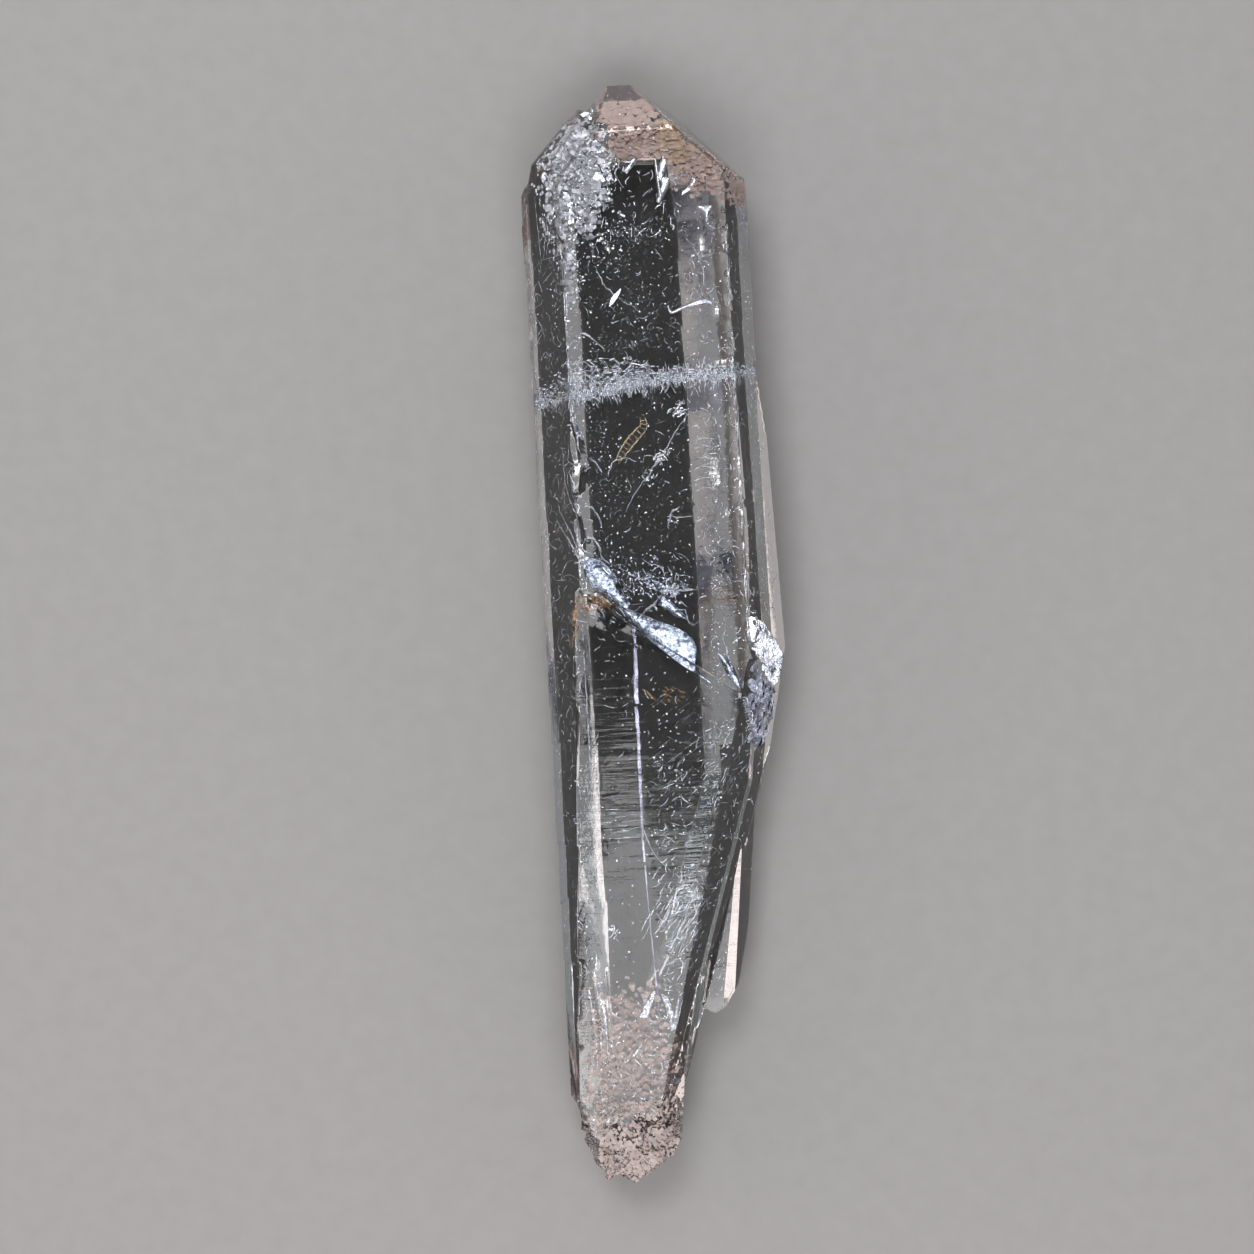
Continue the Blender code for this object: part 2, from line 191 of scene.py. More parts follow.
def tubes(paths, radii, sides=4, flat=1.0, up=None):
    """Closed tubes along many paths at once: a ring square to the path at each of its points.

    Point k of a ring is path + radius * (cos a_k * side + flat * sin a_k * lift), where side is square to
    the path and to UP, and lift is square to both; the end rings are closed by fans.
    """
    paths = np.asarray(paths, dtype=float)
    count, steps, _ = paths.shape
    radii = np.broadcast_to(radii, (count, steps))
    ahead = unit(np.gradient(paths, axis=1))
    if up is None:
        helper = np.where(np.abs(ahead[..., 2:3]) > 0.8, [1.0, 0.0, 0.0], [0.0, 0.0, 1.0])
    else:
        helper = np.broadcast_to(up[:, None], ahead.shape)
    side = unit(np.cross(ahead, helper))
    lift = np.cross(side, ahead)
    angle = np.linspace(0.0, 2.0 * np.pi, sides, endpoint=False)
    spoke = np.cos(angle)[:, None] * side[:, :, None] + flat * np.sin(angle)[:, None] * lift[:, :, None]
    points = paths[:, :, None] + radii[:, :, None, None] * spoke
    number = np.arange(count * steps * sides).reshape(count, steps, sides)
    here, there = number[:, :-1], number[:, 1:]
    turned = lambda ring: np.roll(ring, -1, axis=2)
    walls = np.stack([here, there, turned(there), turned(here)], axis=-1).reshape(-1, 4)
    first, last = number[:, 0], number[:, -1]
    fans = [np.stack([first[:, 0], first[:, k], first[:, k + 1]], axis=-1) for k in range(1, sides - 1)]
    fans += [np.stack([last[:, 0], last[:, k + 1], last[:, k]], axis=-1) for k in range(1, sides - 1)]
    return points.reshape(-1, 3), np.concatenate([halved(walls)] + fans)


def blade_sheet(edge_a, edge_b, bulge, thickness, seed, steps=(56, 18), ripple=0.12, size=1.6):
    """A thin closed sheet stretched between two edges.

    With u along the edges and v from one to the other, the middle is a mix of the edges, raised by
    bulge * sin(pi u) * sin(pi v) plus ripple * noise; the faces lie half of
    thickness * (0.2 + 0.8 sin(pi u) sin(pi v)) above and below it.
    """
    rows, columns = steps
    a, b = curve_through(edge_a, rows), curve_through(edge_b, rows)
    u = np.linspace(0.0, 1.0, rows)[:, None]
    v = np.linspace(0.0, 1.0, columns)[None, :]
    middle = a[:, None] * (1.0 - v)[..., None] + b[:, None] * v[..., None]
    normal = unit(np.cross(np.gradient(middle, axis=0), np.gradient(middle, axis=1)))
    arch = np.sin(np.pi * u) * np.sin(np.pi * v)
    bumps = noise_field(middle.reshape(-1, 3) / size, seed, 4, 0.6).reshape(rows, columns)
    middle = middle + normal * (bulge * arch + ripple * bumps)[..., None]
    half = (0.5 * thickness * (0.2 + 0.8 * arch))[..., None]
    above, below = (middle + normal * half).reshape(-1, 3), (middle - normal * half).reshape(-1, 3)
    points = np.concatenate([above, below])
    top = np.arange(rows * columns).reshape(rows, columns)
    under = top + rows * columns
    cover = np.stack([top[:-1, :-1], top[1:, :-1], top[1:, 1:], top[:-1, 1:]], axis=-1).reshape(-1, 4)
    base = np.stack([under[:-1, :-1], under[:-1, 1:], under[1:, 1:], under[1:, :-1]], axis=-1).reshape(-1, 4)
    loop = np.concatenate([top[:, 0], top[-1, 1:], top[-2::-1, -1], top[0, -2:0:-1]])
    after = np.roll(loop, -1)
    shift = rows * columns
    rim = np.stack([loop, loop + shift, after + shift, after], axis=-1)
    return points, halved(np.concatenate([cover, base, rim]))


# Places inside the crystal

class Depths:
    """The crystal's front and back surface over any X and Y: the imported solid, read on a fine grid."""

    def __init__(self, step=0.25):
        mesh = bpy.data.objects[NODE].data
        mesh.calc_loop_triangles()
        corners = [tuple(vertex.co) for vertex in mesh.vertices]
        tree = BVHTree.FromPolygons(corners, [tuple(t.vertices) for t in mesh.loop_triangles])
        low, high = np.min(corners, axis=0) / MM, np.max(corners, axis=0) / MM
        self.low = low[:2]
        self.step = step
        self.size = np.ceil((high - low)[:2] / step).astype(int) + 1
        across = (low[0] + step * np.arange(self.size[0])) * MM
        along = (low[1] + step * np.arange(self.size[1])) * MM
        down, up = Vector((0.0, 0.0, -1.0)), Vector((0.0, 0.0, 1.0))
        from_above = [tree.ray_cast(Vector((x, y, 0.1)), down) for x in across for y in along]
        from_below = [tree.ray_cast(Vector((x, y, -0.1)), up) for x in across for y in along]
        self.front = self.heights(from_above)
        self.back = self.heights(from_below)
        facing = [(0.0, 0.0, 1.0) if hit[0] is None else tuple(hit[1]) for hit in from_above]
        self.facing = np.array(facing).reshape(*self.size, 3)

    def heights(self, hits):
        """The grid of heights in millimetres from ray hits; not-a-number where a ray misses."""
        found = [np.nan if hit[0] is None else hit[0].z / MM for hit in hits]
        return np.array(found).reshape(self.size)

    def read(self, grid, xy):
        """The grid's value at each place, mixed from four neighbours; not-a-number beside the crystal."""
        place = (np.asarray(xy, dtype=float) - self.low) / self.step
        known = np.all((place >= 0.0) & (place < self.size - 1), axis=1)
        cell = np.clip(np.floor(place).astype(int), 0, self.size - 2)
        i, j = cell.T
        u, v = (place - cell).T
        value = (grid[i, j] * (1.0 - u) + grid[i + 1, j] * u) * (1.0 - v)
        value += (grid[i, j + 1] * (1.0 - u) + grid[i + 1, j + 1] * u) * v
        return np.where(known, value, np.nan)

    def surfaces(self, xy):
        """Front and back heights at each place."""
        return self.read(self.front, xy), self.read(self.back, xy)

    def front_normals(self, xy):
        """The front surface's normal at the grid place nearest to each place."""
        near = np.rint((np.asarray(xy, dtype=float) - self.low) / self.step).astype(int)
        near = np.clip(near, 0, self.size - 1)
        return self.facing[near[:, 0], near[:, 1]]

    def inside(self, xy, depth, skin=NEAREST_MM):
        """Points DEPTH (0 front, 1 back) of the way through, SKIN off both surfaces, and which exist."""
        xy = np.asarray(xy, dtype=float)
        front, back = self.surfaces(xy)
        thick = front - back
        good = np.nan_to_num(thick) > 2.5 * skin
        z = front - skin - (thick - 2.0 * skin) * np.clip(depth, 0.0, 1.0)
        return np.column_stack([xy, np.where(good, z, 0.0)]), good


depths = Depths()


def bend(ray, normal):
    """A ray's direction inside the quartz once it has come in through a surface (Snell's law)."""
    ratio = 1.0 / QUARTZ_IOR
    cosine = np.clip(-np.sum(ray * normal, axis=-1, keepdims=True), 0.02, 1.0)
    inner = np.sqrt(1.0 - ratio ** 2 * (1.0 - cosine ** 2))
    return unit(ratio * ray + (ratio * cosine - inner) * normal)


def lit_normals(points, boxes=(NORTH_BOX_MM, SOUTH_BOX_MM), first_share=0.6):
    """Normals of breaks under the front surface which mirror one of two soft boxes to the eye.

    With e the bent ray from the eye and b the bent ray from the box, both heading into the crystal,
    the normal is the unit vector along -(e + b).
    """
    skin = depths.front_normals(points[:, :2])
    first, second = (unit(points - np.array(box)) for box in boxes)
    use_first = chance.random((len(points), 1)) < first_share
    hidden = np.sum(first * skin, axis=1, keepdims=True) > -LEAST_FACING
    other_hidden = np.sum(second * skin, axis=1, keepdims=True) > -LEAST_FACING
    use_first = np.where(hidden, False, np.where(other_hidden, True, use_first))
    from_box = np.where(use_first, first, second)
    return -unit(bend(unit(points - np.array(EYE_MM)), skin) + bend(from_box, skin))


def lit_places(xy, depth_mm, box):
    """Points of a flat break that mirrors a soft box, set where the eye sees them at the given X and Y.

    Through each place p on the front surface goes the bent view ray p + t d; the break's plane crosses
    the middle ray at DEPTH_MM, and t is where it cuts the others, from NEAREST_MM to DEEPEST_MM.
    """
    both = np.vstack([np.mean(xy, axis=0), xy])
    front, _ = depths.surfaces(both)
    known = np.isfinite(front)
    start = np.column_stack([both, np.where(known, front, front[0])])
    ray = bend(unit(start - np.array(EYE_MM)), depths.front_normals(both))
    normal = lit_normals(start[:1], (box, box))[0]
    t = (start[0] + ray[0] * depth_mm - start) @ normal / (ray @ normal)
    t = np.clip(t + max(NEAREST_MM - t[known].min(), 0.0), NEAREST_MM, DEEPEST_MM)
    return (start + ray * t[:, None])[1:], normal


def lit_sheet(edge_a, edge_b, depth_mm, seed, box=NORTH_BOX_MM, bulge=0.05, thickness=0.12,
              steps=(56, 18), ripple=0.03, size=1.5):
    """A thin sheet between two edges given by X and Y, lying in the plane that mirrors a soft box."""
    points, _ = lit_places(np.concatenate([edge_a, edge_b]).astype(float), depth_mm, box)
    edges = points[:len(edge_a)], points[len(edge_a):]
    return blade_sheet(*edges, bulge, thickness, seed, steps, ripple, size)


def lit_sheets(edges, depth_mm, seed, **form):
    """A thin sheet for each pair of edges, all at one depth."""
    return [lit_sheet(left, right, depth_mm, seed + number, **form)
            for number, (left, right) in enumerate(edges)]


# Materials

def node_tree(name):
    """A new material with only an output, and its tree."""
    material = bpy.data.materials.new(name)
    material.use_nodes = True
    tree = material.node_tree
    tree.nodes.clear()
    output = tree.nodes.new("ShaderNodeOutputMaterial")
    return material, tree, output


def add(tree, kind, **settings):
    """A node of a kind, with plain attributes or input values set by name."""
    made = tree.nodes.new(kind)
    for name, value in settings.items():
        if hasattr(made, name):
            setattr(made, name, value)
        else:
            made.inputs[name.replace("_", " ")].default_value = value
    return made


def math_node(tree, operation, second):
    """A math node with its second value set."""
    made = add(tree, "ShaderNodeMath", operation=operation)
    made.inputs[1].default_value = second
    return made


def wire(tree, *links):
    """Joins sockets: each link names a node and its output, then a node and its input."""
    for start, output, end, entry in links:
        tree.links.new(start.outputs[output], end.inputs[entry])


def new_group(name, inputs, outputs):
    """A shader node group with float inputs (name, value) and outputs (name, socket kind)."""
    group = bpy.data.node_groups.new(name, "ShaderNodeTree")
    for socket_name, value in inputs:
        socket = group.interface.new_socket(socket_name, in_out="INPUT", socket_type="NodeSocketFloat")
        socket.default_value = value
    for socket_name, kind in outputs:
        group.interface.new_socket(socket_name, in_out="OUTPUT", socket_type=kind)
    return group, group.nodes.new("NodeGroupInput"), group.nodes.new("NodeGroupOutput")


def crackle_group():
    """Uneven brightness, roughness and relief for anything that is a break inside the crystal.

    Fraction mixes a slow and a fine noise, Roughness spreads round its middle with the slow noise,
    and Normal comes from the fine one.
    """
    group, given, wanted = new_group(
        "break texture",
        [("Size", 900.0), ("Roughness Middle", 0.22), ("Roughness Spread", 0.16), ("Relief", 0.5)],
        [("Fraction", "NodeSocketFloat"), ("Roughness", "NodeSocketFloat"), ("Normal", "NodeSocketVector")])
    place = group.nodes.new("ShaderNodeTexCoord")
    slow = add(group, "ShaderNodeTexNoise", Detail=3.0, Roughness=0.6)
    fine = add(group, "ShaderNodeTexNoise", Detail=5.0, Roughness=0.65)
    times = math_node(group, "MULTIPLY", 4.0)
    half_slow = math_node(group, "MULTIPLY", 0.5)
    mixed = math_node(group, "MULTIPLY_ADD", 0.5)
    centred = math_node(group, "SUBTRACT", 0.5)
    spread = add(group, "ShaderNodeMath", operation="MULTIPLY_ADD", use_clamp=True)
    bump = add(group, "ShaderNodeBump", Distance=0.0002)
    wire(group,
         (given, "Size", slow, "Scale"),
         (given, "Size", times, 0),
         (times, "Value", fine, "Scale"),
         (place, "Object", slow, "Vector"),
         (place, "Object", fine, "Vector"),
         (slow, "Fac", half_slow, 0),
         (fine, "Fac", mixed, 0),
         (half_slow, "Value", mixed, 2),
         (slow, "Fac", centred, 0),
         (centred, "Value", spread, 0),
         (given, "Roughness Spread", spread, 1),
         (given, "Roughness Middle", spread, 2),
         (given, "Relief", bump, "Strength"),
         (fine, "Fac", bump, "Height"),
         (mixed, "Value", wanted, "Fraction"),
         (spread, "Value", wanted, "Roughness"),
         (bump, "Normal", wanted, "Normal"))
    return group


crackle = crackle_group()


def break_material(name, dark, light, size=900.0, middle=0.22, spread=0.3, relief=0.5,
                   between=(0.38, 0.62), metal=1.0):
    """A break whose colour runs from DARK to LIGHT with the break texture; METAL 1 makes it mirror-like."""
    material, tree, output = node_tree(name)
    shader = add(tree, "ShaderNodeBsdfPrincipled", Metallic=metal)
    texture = add(tree, "ShaderNodeGroup", node_tree=crackle)
    given = {"Size": size, "Roughness Middle": middle, "Roughness Spread": spread, "Relief": relief}
    for socket, value in given.items():
        texture.inputs[socket].default_value = value
    ramp = add(tree, "ShaderNodeMapRange", From_Min=between[0], From_Max=between[1])
    colour = add(tree, "ShaderNodeMix", data_type="RGBA")
    colour.inputs["A"].default_value = (*dark, 1.0)
    colour.inputs["B"].default_value = (*light, 1.0)
    wire(tree,
         (texture, "Fraction", ramp, "Value"),
         (ramp, "Result", colour, "Factor"),
         (colour, "Result", shader, "Base Color"),
         (texture, "Roughness", shader, "Roughness"),
         (texture, "Normal", shader, "Normal"),
         (shader, "BSDF", output, "Surface"))
    return material


def quartz_material():
    """Clear quartz: glassy, with faint growth lines across the faces and fine ripples in the surface."""
    material, tree, output = node_tree("clear quartz")
    shader = add(tree, "ShaderNodeBsdfPrincipled", Roughness=0.012, IOR=QUARTZ_IOR)
    shader.inputs["Base Color"].default_value = (1.0, 1.0, 1.0, 1.0)
    shader.inputs["Transmission Weight"].default_value = 1.0
    place = add(tree, "ShaderNodeTexCoord")
    stretch = add(tree, "ShaderNodeMapping", vector_type="POINT")
    stretch.inputs["Scale"].default_value = (60.0, 1500.0, 60.0)
    lines = add(tree, "ShaderNodeTexNoise", Scale=1.0, Detail=3.0, Roughness=0.6)
    ripples = add(tree, "ShaderNodeTexNoise", Scale=420.0, Detail=3.0, Roughness=0.55)
    line_bump = add(tree, "ShaderNodeBump", Strength=0.10, Distance=0.0002)
    ripple_bump = add(tree, "ShaderNodeBump", Strength=0.06, Distance=0.0003)
    absorb = add(tree, "ShaderNodeVolumeAbsorption", Density=10.0)
    absorb.inputs["Color"].default_value = (0.94, 0.90, 0.885, 1.0)
    wire(tree,
         (place, "Object", stretch, "Vector"),
         (stretch, "Vector", lines, "Vector"),
         (place, "Object", ripples, "Vector"),
         (lines, "Fac", line_bump, "Height"),
         (ripples, "Fac", ripple_bump, "Height"),
         (line_bump, "Normal", ripple_bump, "Normal"),
         (ripple_bump, "Normal", shader, "Normal"),
         (shader, "BSDF", output, "Surface"),
         (absorb, "Volume", output, "Volume"))
    return material


# Pieces

def linked(name, data):
    """A new object in the scene."""
    made = bpy.data.objects.new(name, data)
    bpy.context.scene.collection.objects.link(made)
    return made


def piece_from_arrays(name, shape, material, smooth=False):
    """An object from arrays of points in millimetres and of triangles."""
    points, faces = shape
    mesh = bpy.data.meshes.new(name)
    mesh.from_pydata((np.asarray(points) * MM).tolist(), [], np.asarray(faces).tolist())
    mesh.polygons.foreach_set("use_smooth", np.full(len(mesh.polygons), smooth))
    mesh.materials.append(material)
    mesh.update()
    made = linked(name, mesh)
    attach(made, "root")
    print(name, "triangles", len(mesh.polygons))
    return made


def merged_copy(name):
    """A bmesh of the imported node, with its doubles merged and flat stretches made one face each."""
    shape = bmesh.new()
    shape.from_mesh(bpy.data.objects[name].data)
    bmesh.ops.remove_doubles(shape, verts=shape.verts, dist=2e-6)
    bmesh.ops.dissolve_limit(
        shape, angle_limit=math.radians(0.6), verts=shape.verts, edges=shape.edges, delimit={"NORMAL"}
    )
    return shape


def refine(shape, longest):
    """Halves every edge longer than LONGEST until none is left."""
    bmesh.ops.triangulate(shape, faces=shape.faces)
    for _ in range(MOST_HALVINGS):
        long_edges = [edge for edge in shape.edges if edge.calc_length() > longest]
        if not long_edges:
            break
        bmesh.ops.subdivide_edges(shape, edges=long_edges, cuts=1, use_grid_fill=False)
        bmesh.ops.triangulate(shape, faces=[face for face in shape.faces if len(face.verts) > 3])


def vertex_vectors(mesh, kind):
    """The places ("co") or normals ("normal") of a mesh's vertices."""
    values = np.empty(len(mesh.vertices) * 3)
    mesh.vertices.foreach_get(kind, values)
    return values.reshape(-1, 3)


def crystal_piece(material):
    """The crystal's visible body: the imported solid, refined and given its relief.

    The relief moves each point along its normal by the sum of slow swells, growth lines that run
    across the long faces, and a coarse break-up that grows towards the root.
    """
    shape = merged_copy(NODE)
    refine(shape, LONGEST_EDGE_MM * MM)
    mesh = bpy.data.meshes.new("crystal_body")
    shape.to_mesh(mesh)
    shape.free()
    points, normals = vertex_vectors(mesh, "co"), vertex_vectors(mesh, "normal")
    mm = points / MM
    root = 1.0 - smooth_step(mm[:, 1], -82.0, -66.0)
    swell = noise_field(mm / 9.0, 3, 2) * 0.03
    lines = noise_field(mm * np.array([0.06, 0.9, 0.06]), 11, 3) * 0.02
    rough = noise_field(mm / 4.2, 5, 3, 0.5) * 0.16 * root
    raise_by = swell + lines * (1.0 - root) + rough
    raise_by *= smooth_step(mm[:, 2], 0.02, 0.6)
    moved = points + normals * (raise_by * MM)[:, None]
    moved[:, 2] = np.maximum(moved[:, 2], 0.0)
    mesh.vertices.foreach_set("co", moved.reshape(-1))
    mesh.polygons.foreach_set("use_smooth", np.ones(len(mesh.polygons), dtype=bool))
    mesh.set_sharp_from_angle(angle=math.radians(SHARP_DEGREES))
    mesh.materials.append(material)
    mesh.update()
    made = linked("crystal_body", mesh)
    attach(made, "root")
    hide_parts(NODE)
    print("crystal_body triangles", len(mesh.polygons))
    return made


def nudged(normals, spread):
    """The normals, each turned a little by chance."""
    return unit(normals + chance.normal(0.0, spread, normals.shape))


def flake_sizes(large, narrow, thin):
    """Half the length, width and thickness of each flake, from its length LARGE.

    The width is a share of the length, by chance within NARROW, and the thickness the share THIN.
    """
    return np.column_stack([large, large * chance.uniform(*narrow, len(large)), large * thin])


def cloud(patches, depth, count_each, size, spread, flatness=0.05):
    """Flakes round patch centres (x, y, spread x, spread y, share), in a range of sizes and depths."""
    groups = []
    for x, y, spread_x, spread_y, share in patches:
        count = int(count_each * share)
        xy = np.column_stack([chance.normal(x, spread_x, count), chance.normal(y, spread_y, count)])
        points, good = depths.inside(xy, chance.uniform(*depth, count), 0.35)
        points = points[good]
        low, high = size
        large = low + (high - low) * chance.random(len(points)) ** 3
        sizes = flake_sizes(large, (0.4, 1.0), flatness)
        groups.append(flakes(points, nudged(lit_normals(points), spread), sizes))
    return joined(groups)


def hair_arcs(xy, depth_mm, length, width, bending, heading, heading_spread, spread=0.06,
              boxes=(NORTH_BOX_MM, SOUTH_BOX_MM)):
    """Short curved hairs under the front surface, each a flat ribbon in a plane that mirrors a soft box.

    A hair runs from its place along its heading, which turns by BENDING radians over its length, and its
    width falls to nothing at both ends as the square root of a half-sine.
    """
    count = len(xy)
    steps = 7
    t = np.linspace(-0.5, 0.5, steps)
    lengths = length[0] + (length[1] - length[0]) * chance.random(count) ** 2
    turn = heading + chance.normal(0.0, heading_spread, count)
    bends = chance.normal(0.0, bending, count)
    angle = turn[:, None] + bends[:, None] * t
    step = lengths / (steps - 1)
    x = np.cumsum(np.cos(angle), axis=1) * step[:, None]
    y = np.cumsum(np.sin(angle), axis=1) * step[:, None]
    away = np.stack([x - x[:, 3:4], y - y[:, 3:4]], axis=-1)
    flat = xy[:, None] + away
    start, _ = depths.surfaces(xy)
    z = start - depth_mm[0] - (depth_mm[1] - depth_mm[0]) * chance.random(count) ** 1.5
    normal = nudged(lit_normals(np.column_stack([xy, np.nan_to_num(z, nan=10.0)]), boxes), spread)
    z = z[:, None] - np.sum(away * normal[:, None, :2], axis=-1) / np.maximum(normal[:, 2:3], STEEPEST_LIFT)
    front, back = depths.surfaces(flat.reshape(-1, 2))
    clear = np.minimum(front.reshape(z.shape) - z, z - back.reshape(z.shape))
    good = np.all(np.nan_to_num(clear, nan=-1.0) > HAIR_NEAREST_MM, axis=1)
    paths = np.concatenate([flat, z[..., None]], axis=-1)[good]
    taper = np.sqrt(np.clip(np.cos(np.pi * t), 0.02, 1.0))
    widths = width[0] + (width[1] - width[0]) * chance.random(count)[good] ** 2
    return tubes(paths, widths[:, None] * taper[None, :], 4, 0.12, normal[good])


def scatter(low, high, count):
    """COUNT places spread evenly by chance over a rectangle."""
    return chance.uniform(low, high, (count, 2))


def heap(middle, spread, count):
    """COUNT places heaped by chance round a middle."""
    return chance.normal(middle, spread, (count, 2))


def fan_scatter(outline, count):
    """Places spread evenly over an outline: one triangle of its fan by area, then a point inside it."""
    outline = np.array(outline, dtype=float)
    ends = np.roll(outline, -1, axis=0)
    middle = outline.mean(axis=0)
    first, second = outline - middle, ends - middle
    area = np.abs(first[:, 0] * second[:, 1] - first[:, 1] * second[:, 0])
    chosen = chance.choice(len(outline), count, p=area / area.sum())
    reach = np.sqrt(chance.random(count))[:, None]
    turn = chance.random(count)[:, None]
    return middle + reach * ((1.0 - turn) * first[chosen] + turn * second[chosen])


def winding(points_xy, depth_mm, width, count=40, wobble=0.0, seed=1, box=NORTH_BOX_MM):
    """A ribbon with a little wobble through places under the front surface, which mirrors a soft box."""
    flat = curve_through(points_xy, count)
    place = np.column_stack([flat / 0.7, np.zeros(count)])
    flat = flat + wobble * np.column_stack([noise_field(place, seed + n, 3) for n in range(2)])
    path, normal = lit_places(flat, depth_mm, box)
    uneven = 1.0 + 0.6 * noise_field(place * 0.6, seed + 5, 2)
    taper = np.sqrt(np.clip(np.sin(np.pi * np.linspace(0.0, 1.0, count)), 0.03, 1.0)) * uneven
    return tubes(path[None], (width * taper)[None], 4, 0.15, normal[None])


def tip_fractures(white):
    """The milky cluster in the upper left of the point, and the fluted shards right of it."""
    patches = [
        (-9.4, 67.9, 1.4, 1.3, 1.0), (-10.4, 71.2, 1.6, 1.6, 1.0), (-6.4, 73.0, 1.2, 1.8, 0.9),
        (-8.6, 76.8, 1.6, 1.6, 0.6), (-7.6, 70.0, 1.8, 1.6, 0.8), (-12.6, 66.0, 1.2, 2.6, 0.5),
        (-11.6, 60.0, 0.9, 4.6, 0.5), (-5.6, 62.6, 2.6, 2.0, 0.3), (-13.0, 74.0, 1.2, 2.2, 0.4),
    ]
    small = cloud(patches, (0.03, 0.4), 420, (0.08, 0.45), 0.07)
    large = cloud(patches[:5], (0.05, 0.3), 34, (0.5, 1.5), 0.03)
    curled = np.concatenate([heap((-8.6, 71.0), (2.4, 4.2), 220), scatter((-3.5, 62), (6, 76), 90)])
    arcs = hair_arcs(curled, (0.2, 3.0), (0.4, 2.0), (0.03, 0.08), 1.6, 1.2, 0.9)
    piece_from_arrays("tip_fractures", joined([small, large, arcs]), white)
    shards = [
        ([(2.3, 75.0), (2.5, 71.5), (2.9, 68.0)], [(2.7, 75.2), (3.1, 71.8), (3.3, 68.2)]),
        ([(3.9, 75.2), (3.0, 73.0), (2.6, 70.9)], [(4.8, 74.6), (4.4, 72.8), (3.4, 70.8)]),
        ([(3.4, 71.4), (2.9, 69.6), (2.4, 67.4)], [(4.7, 71.0), (4.2, 69.2), (2.9, 67.2)]),
        ([(8.3, 73.2), (8.7, 71.0), (8.2, 69.4), (6.4, 68.2)],
         [(7.9, 73.0), (8.2, 71.2), (7.8, 69.8), (6.5, 68.7)]),
        ([(-6.2, 83.0), (-5.3, 81.2), (-4.4, 79.4)], [(-5.9, 83.1), (-5.0, 81.4), (-4.2, 79.6)]),
        ([(-7.5, 83.8), (-7.2, 83.2), (-6.7, 82.9)], [(-6.9, 84.2), (-6.5, 83.6), (-6.2, 83.1)]),
        ([(-0.8, 75.6), (-1.4, 74.2), (-2.6, 72.6)], [(0.4, 75.2), (-0.6, 73.6), (-2.0, 72.0)]),
        ([(8.6, 66.4), (9.6, 65.4), (10.0, 63.8)], [(11.2, 66.4), (10.8, 65.4), (10.2, 63.9)]),
        ([(-13.2, 70.0), (-12.0, 67.4), (-11.6, 64.6)], [(-11.4, 70.4), (-10.4, 67.6), (-10.6, 64.8)]),
        ([(-9.2, 74.6), (-8.0, 72.4), (-7.0, 70.6)], [(-7.0, 75.0), (-5.8, 72.8), (-5.2, 71.2)]),
    ]
    sheets = lit_sheets(shards, 1.4, 20, steps=(40, 10), ripple=0.02, size=0.8)
    piece_from_arrays("tip_shards", joined(sheets), white, True)


def cross_veil(veil):
    """The healed crack that crosses the crystal above its middle, with a fringe of fine fibres.

    Its flakes lie on a plane that sinks from the front surface towards the root: at share s of the
    way down, Y runs from the upper to the lower border and the depth from 4 to 30 per cent.
    """
    upper = np.array([(-18.6, 39.2), (-12.9, 42.6), (-8.8, 43.6), (-4.3, 43.2), (-0.7, 42.2), (5.4, 41.2),
                      (12.5, 41.6), (16.7, 41.6)])
    lower = np.array([(-18.2, 37.0), (-12.9, 37.2), (-5.8, 38.0), (-2.1, 38.9), (5.3, 39.7), (12.3, 39.7),
                      (16.6, 39.8)])
    count = 4200
    x = chance.uniform(-18.4, 16.8, count)
    share = np.clip(1.0 - np.abs(chance.normal(0.0, 0.42, count)), 0.0, 1.0)
    y = np.interp(x, *upper.T) * (1.0 - share) + np.interp(x, *lower.T) * share
    y += noise_field(np.column_stack([x, y, 0 * x]) / 1.1, 61, 3) * 0.7
    points, good = depths.inside(np.column_stack([x, y]), 0.03 + 0.27 * share, 0.3)
    thin = noise_field(points / 1.7, 63, 3) > chance.uniform(-0.75, 0.35, count)
    points = points[good & thin]
    large = 0.05 + 0.26 * chance.random(len(points)) ** 2
    sizes = np.column_stack([large * 0.5, large * chance.uniform(1.0, 2.6, len(points)), large * 0.04])
    flat = flakes(points, nudged(lit_normals(points), 0.1), sizes, 6, 0.4, np.array([1.0, 0.0, 0.0]))
    fibres_x = np.concatenate([chance.uniform(-18.0, -13.4, 70), chance.uniform(-13.0, 5.4, 420),
                               chance.uniform(5.4, 13.0, 160), chance.uniform(13.2, 16.4, 60)])
    fibres_y = np.interp(fibres_x, *lower.T) + chance.normal(0.3, 0.8, len(fibres_x))
    fibres = np.column_stack([fibres_x, fibres_y])
    hairs = hair_arcs(fibres, (0.3, 4.0), (0.5, 2.6), (0.03, 0.08), 0.6, math.pi / 2, 0.32)
    curls = hair_arcs(scatter((-13.0, 38.6), (0.0, 43.4), 170), (0.2, 3.0), (0.7, 3.0), (0.03, 0.09),
                      2.6, 1.0, 1.0)
    piece_from_arrays("cross_veil", joined([flat, hairs, curls]), veil)


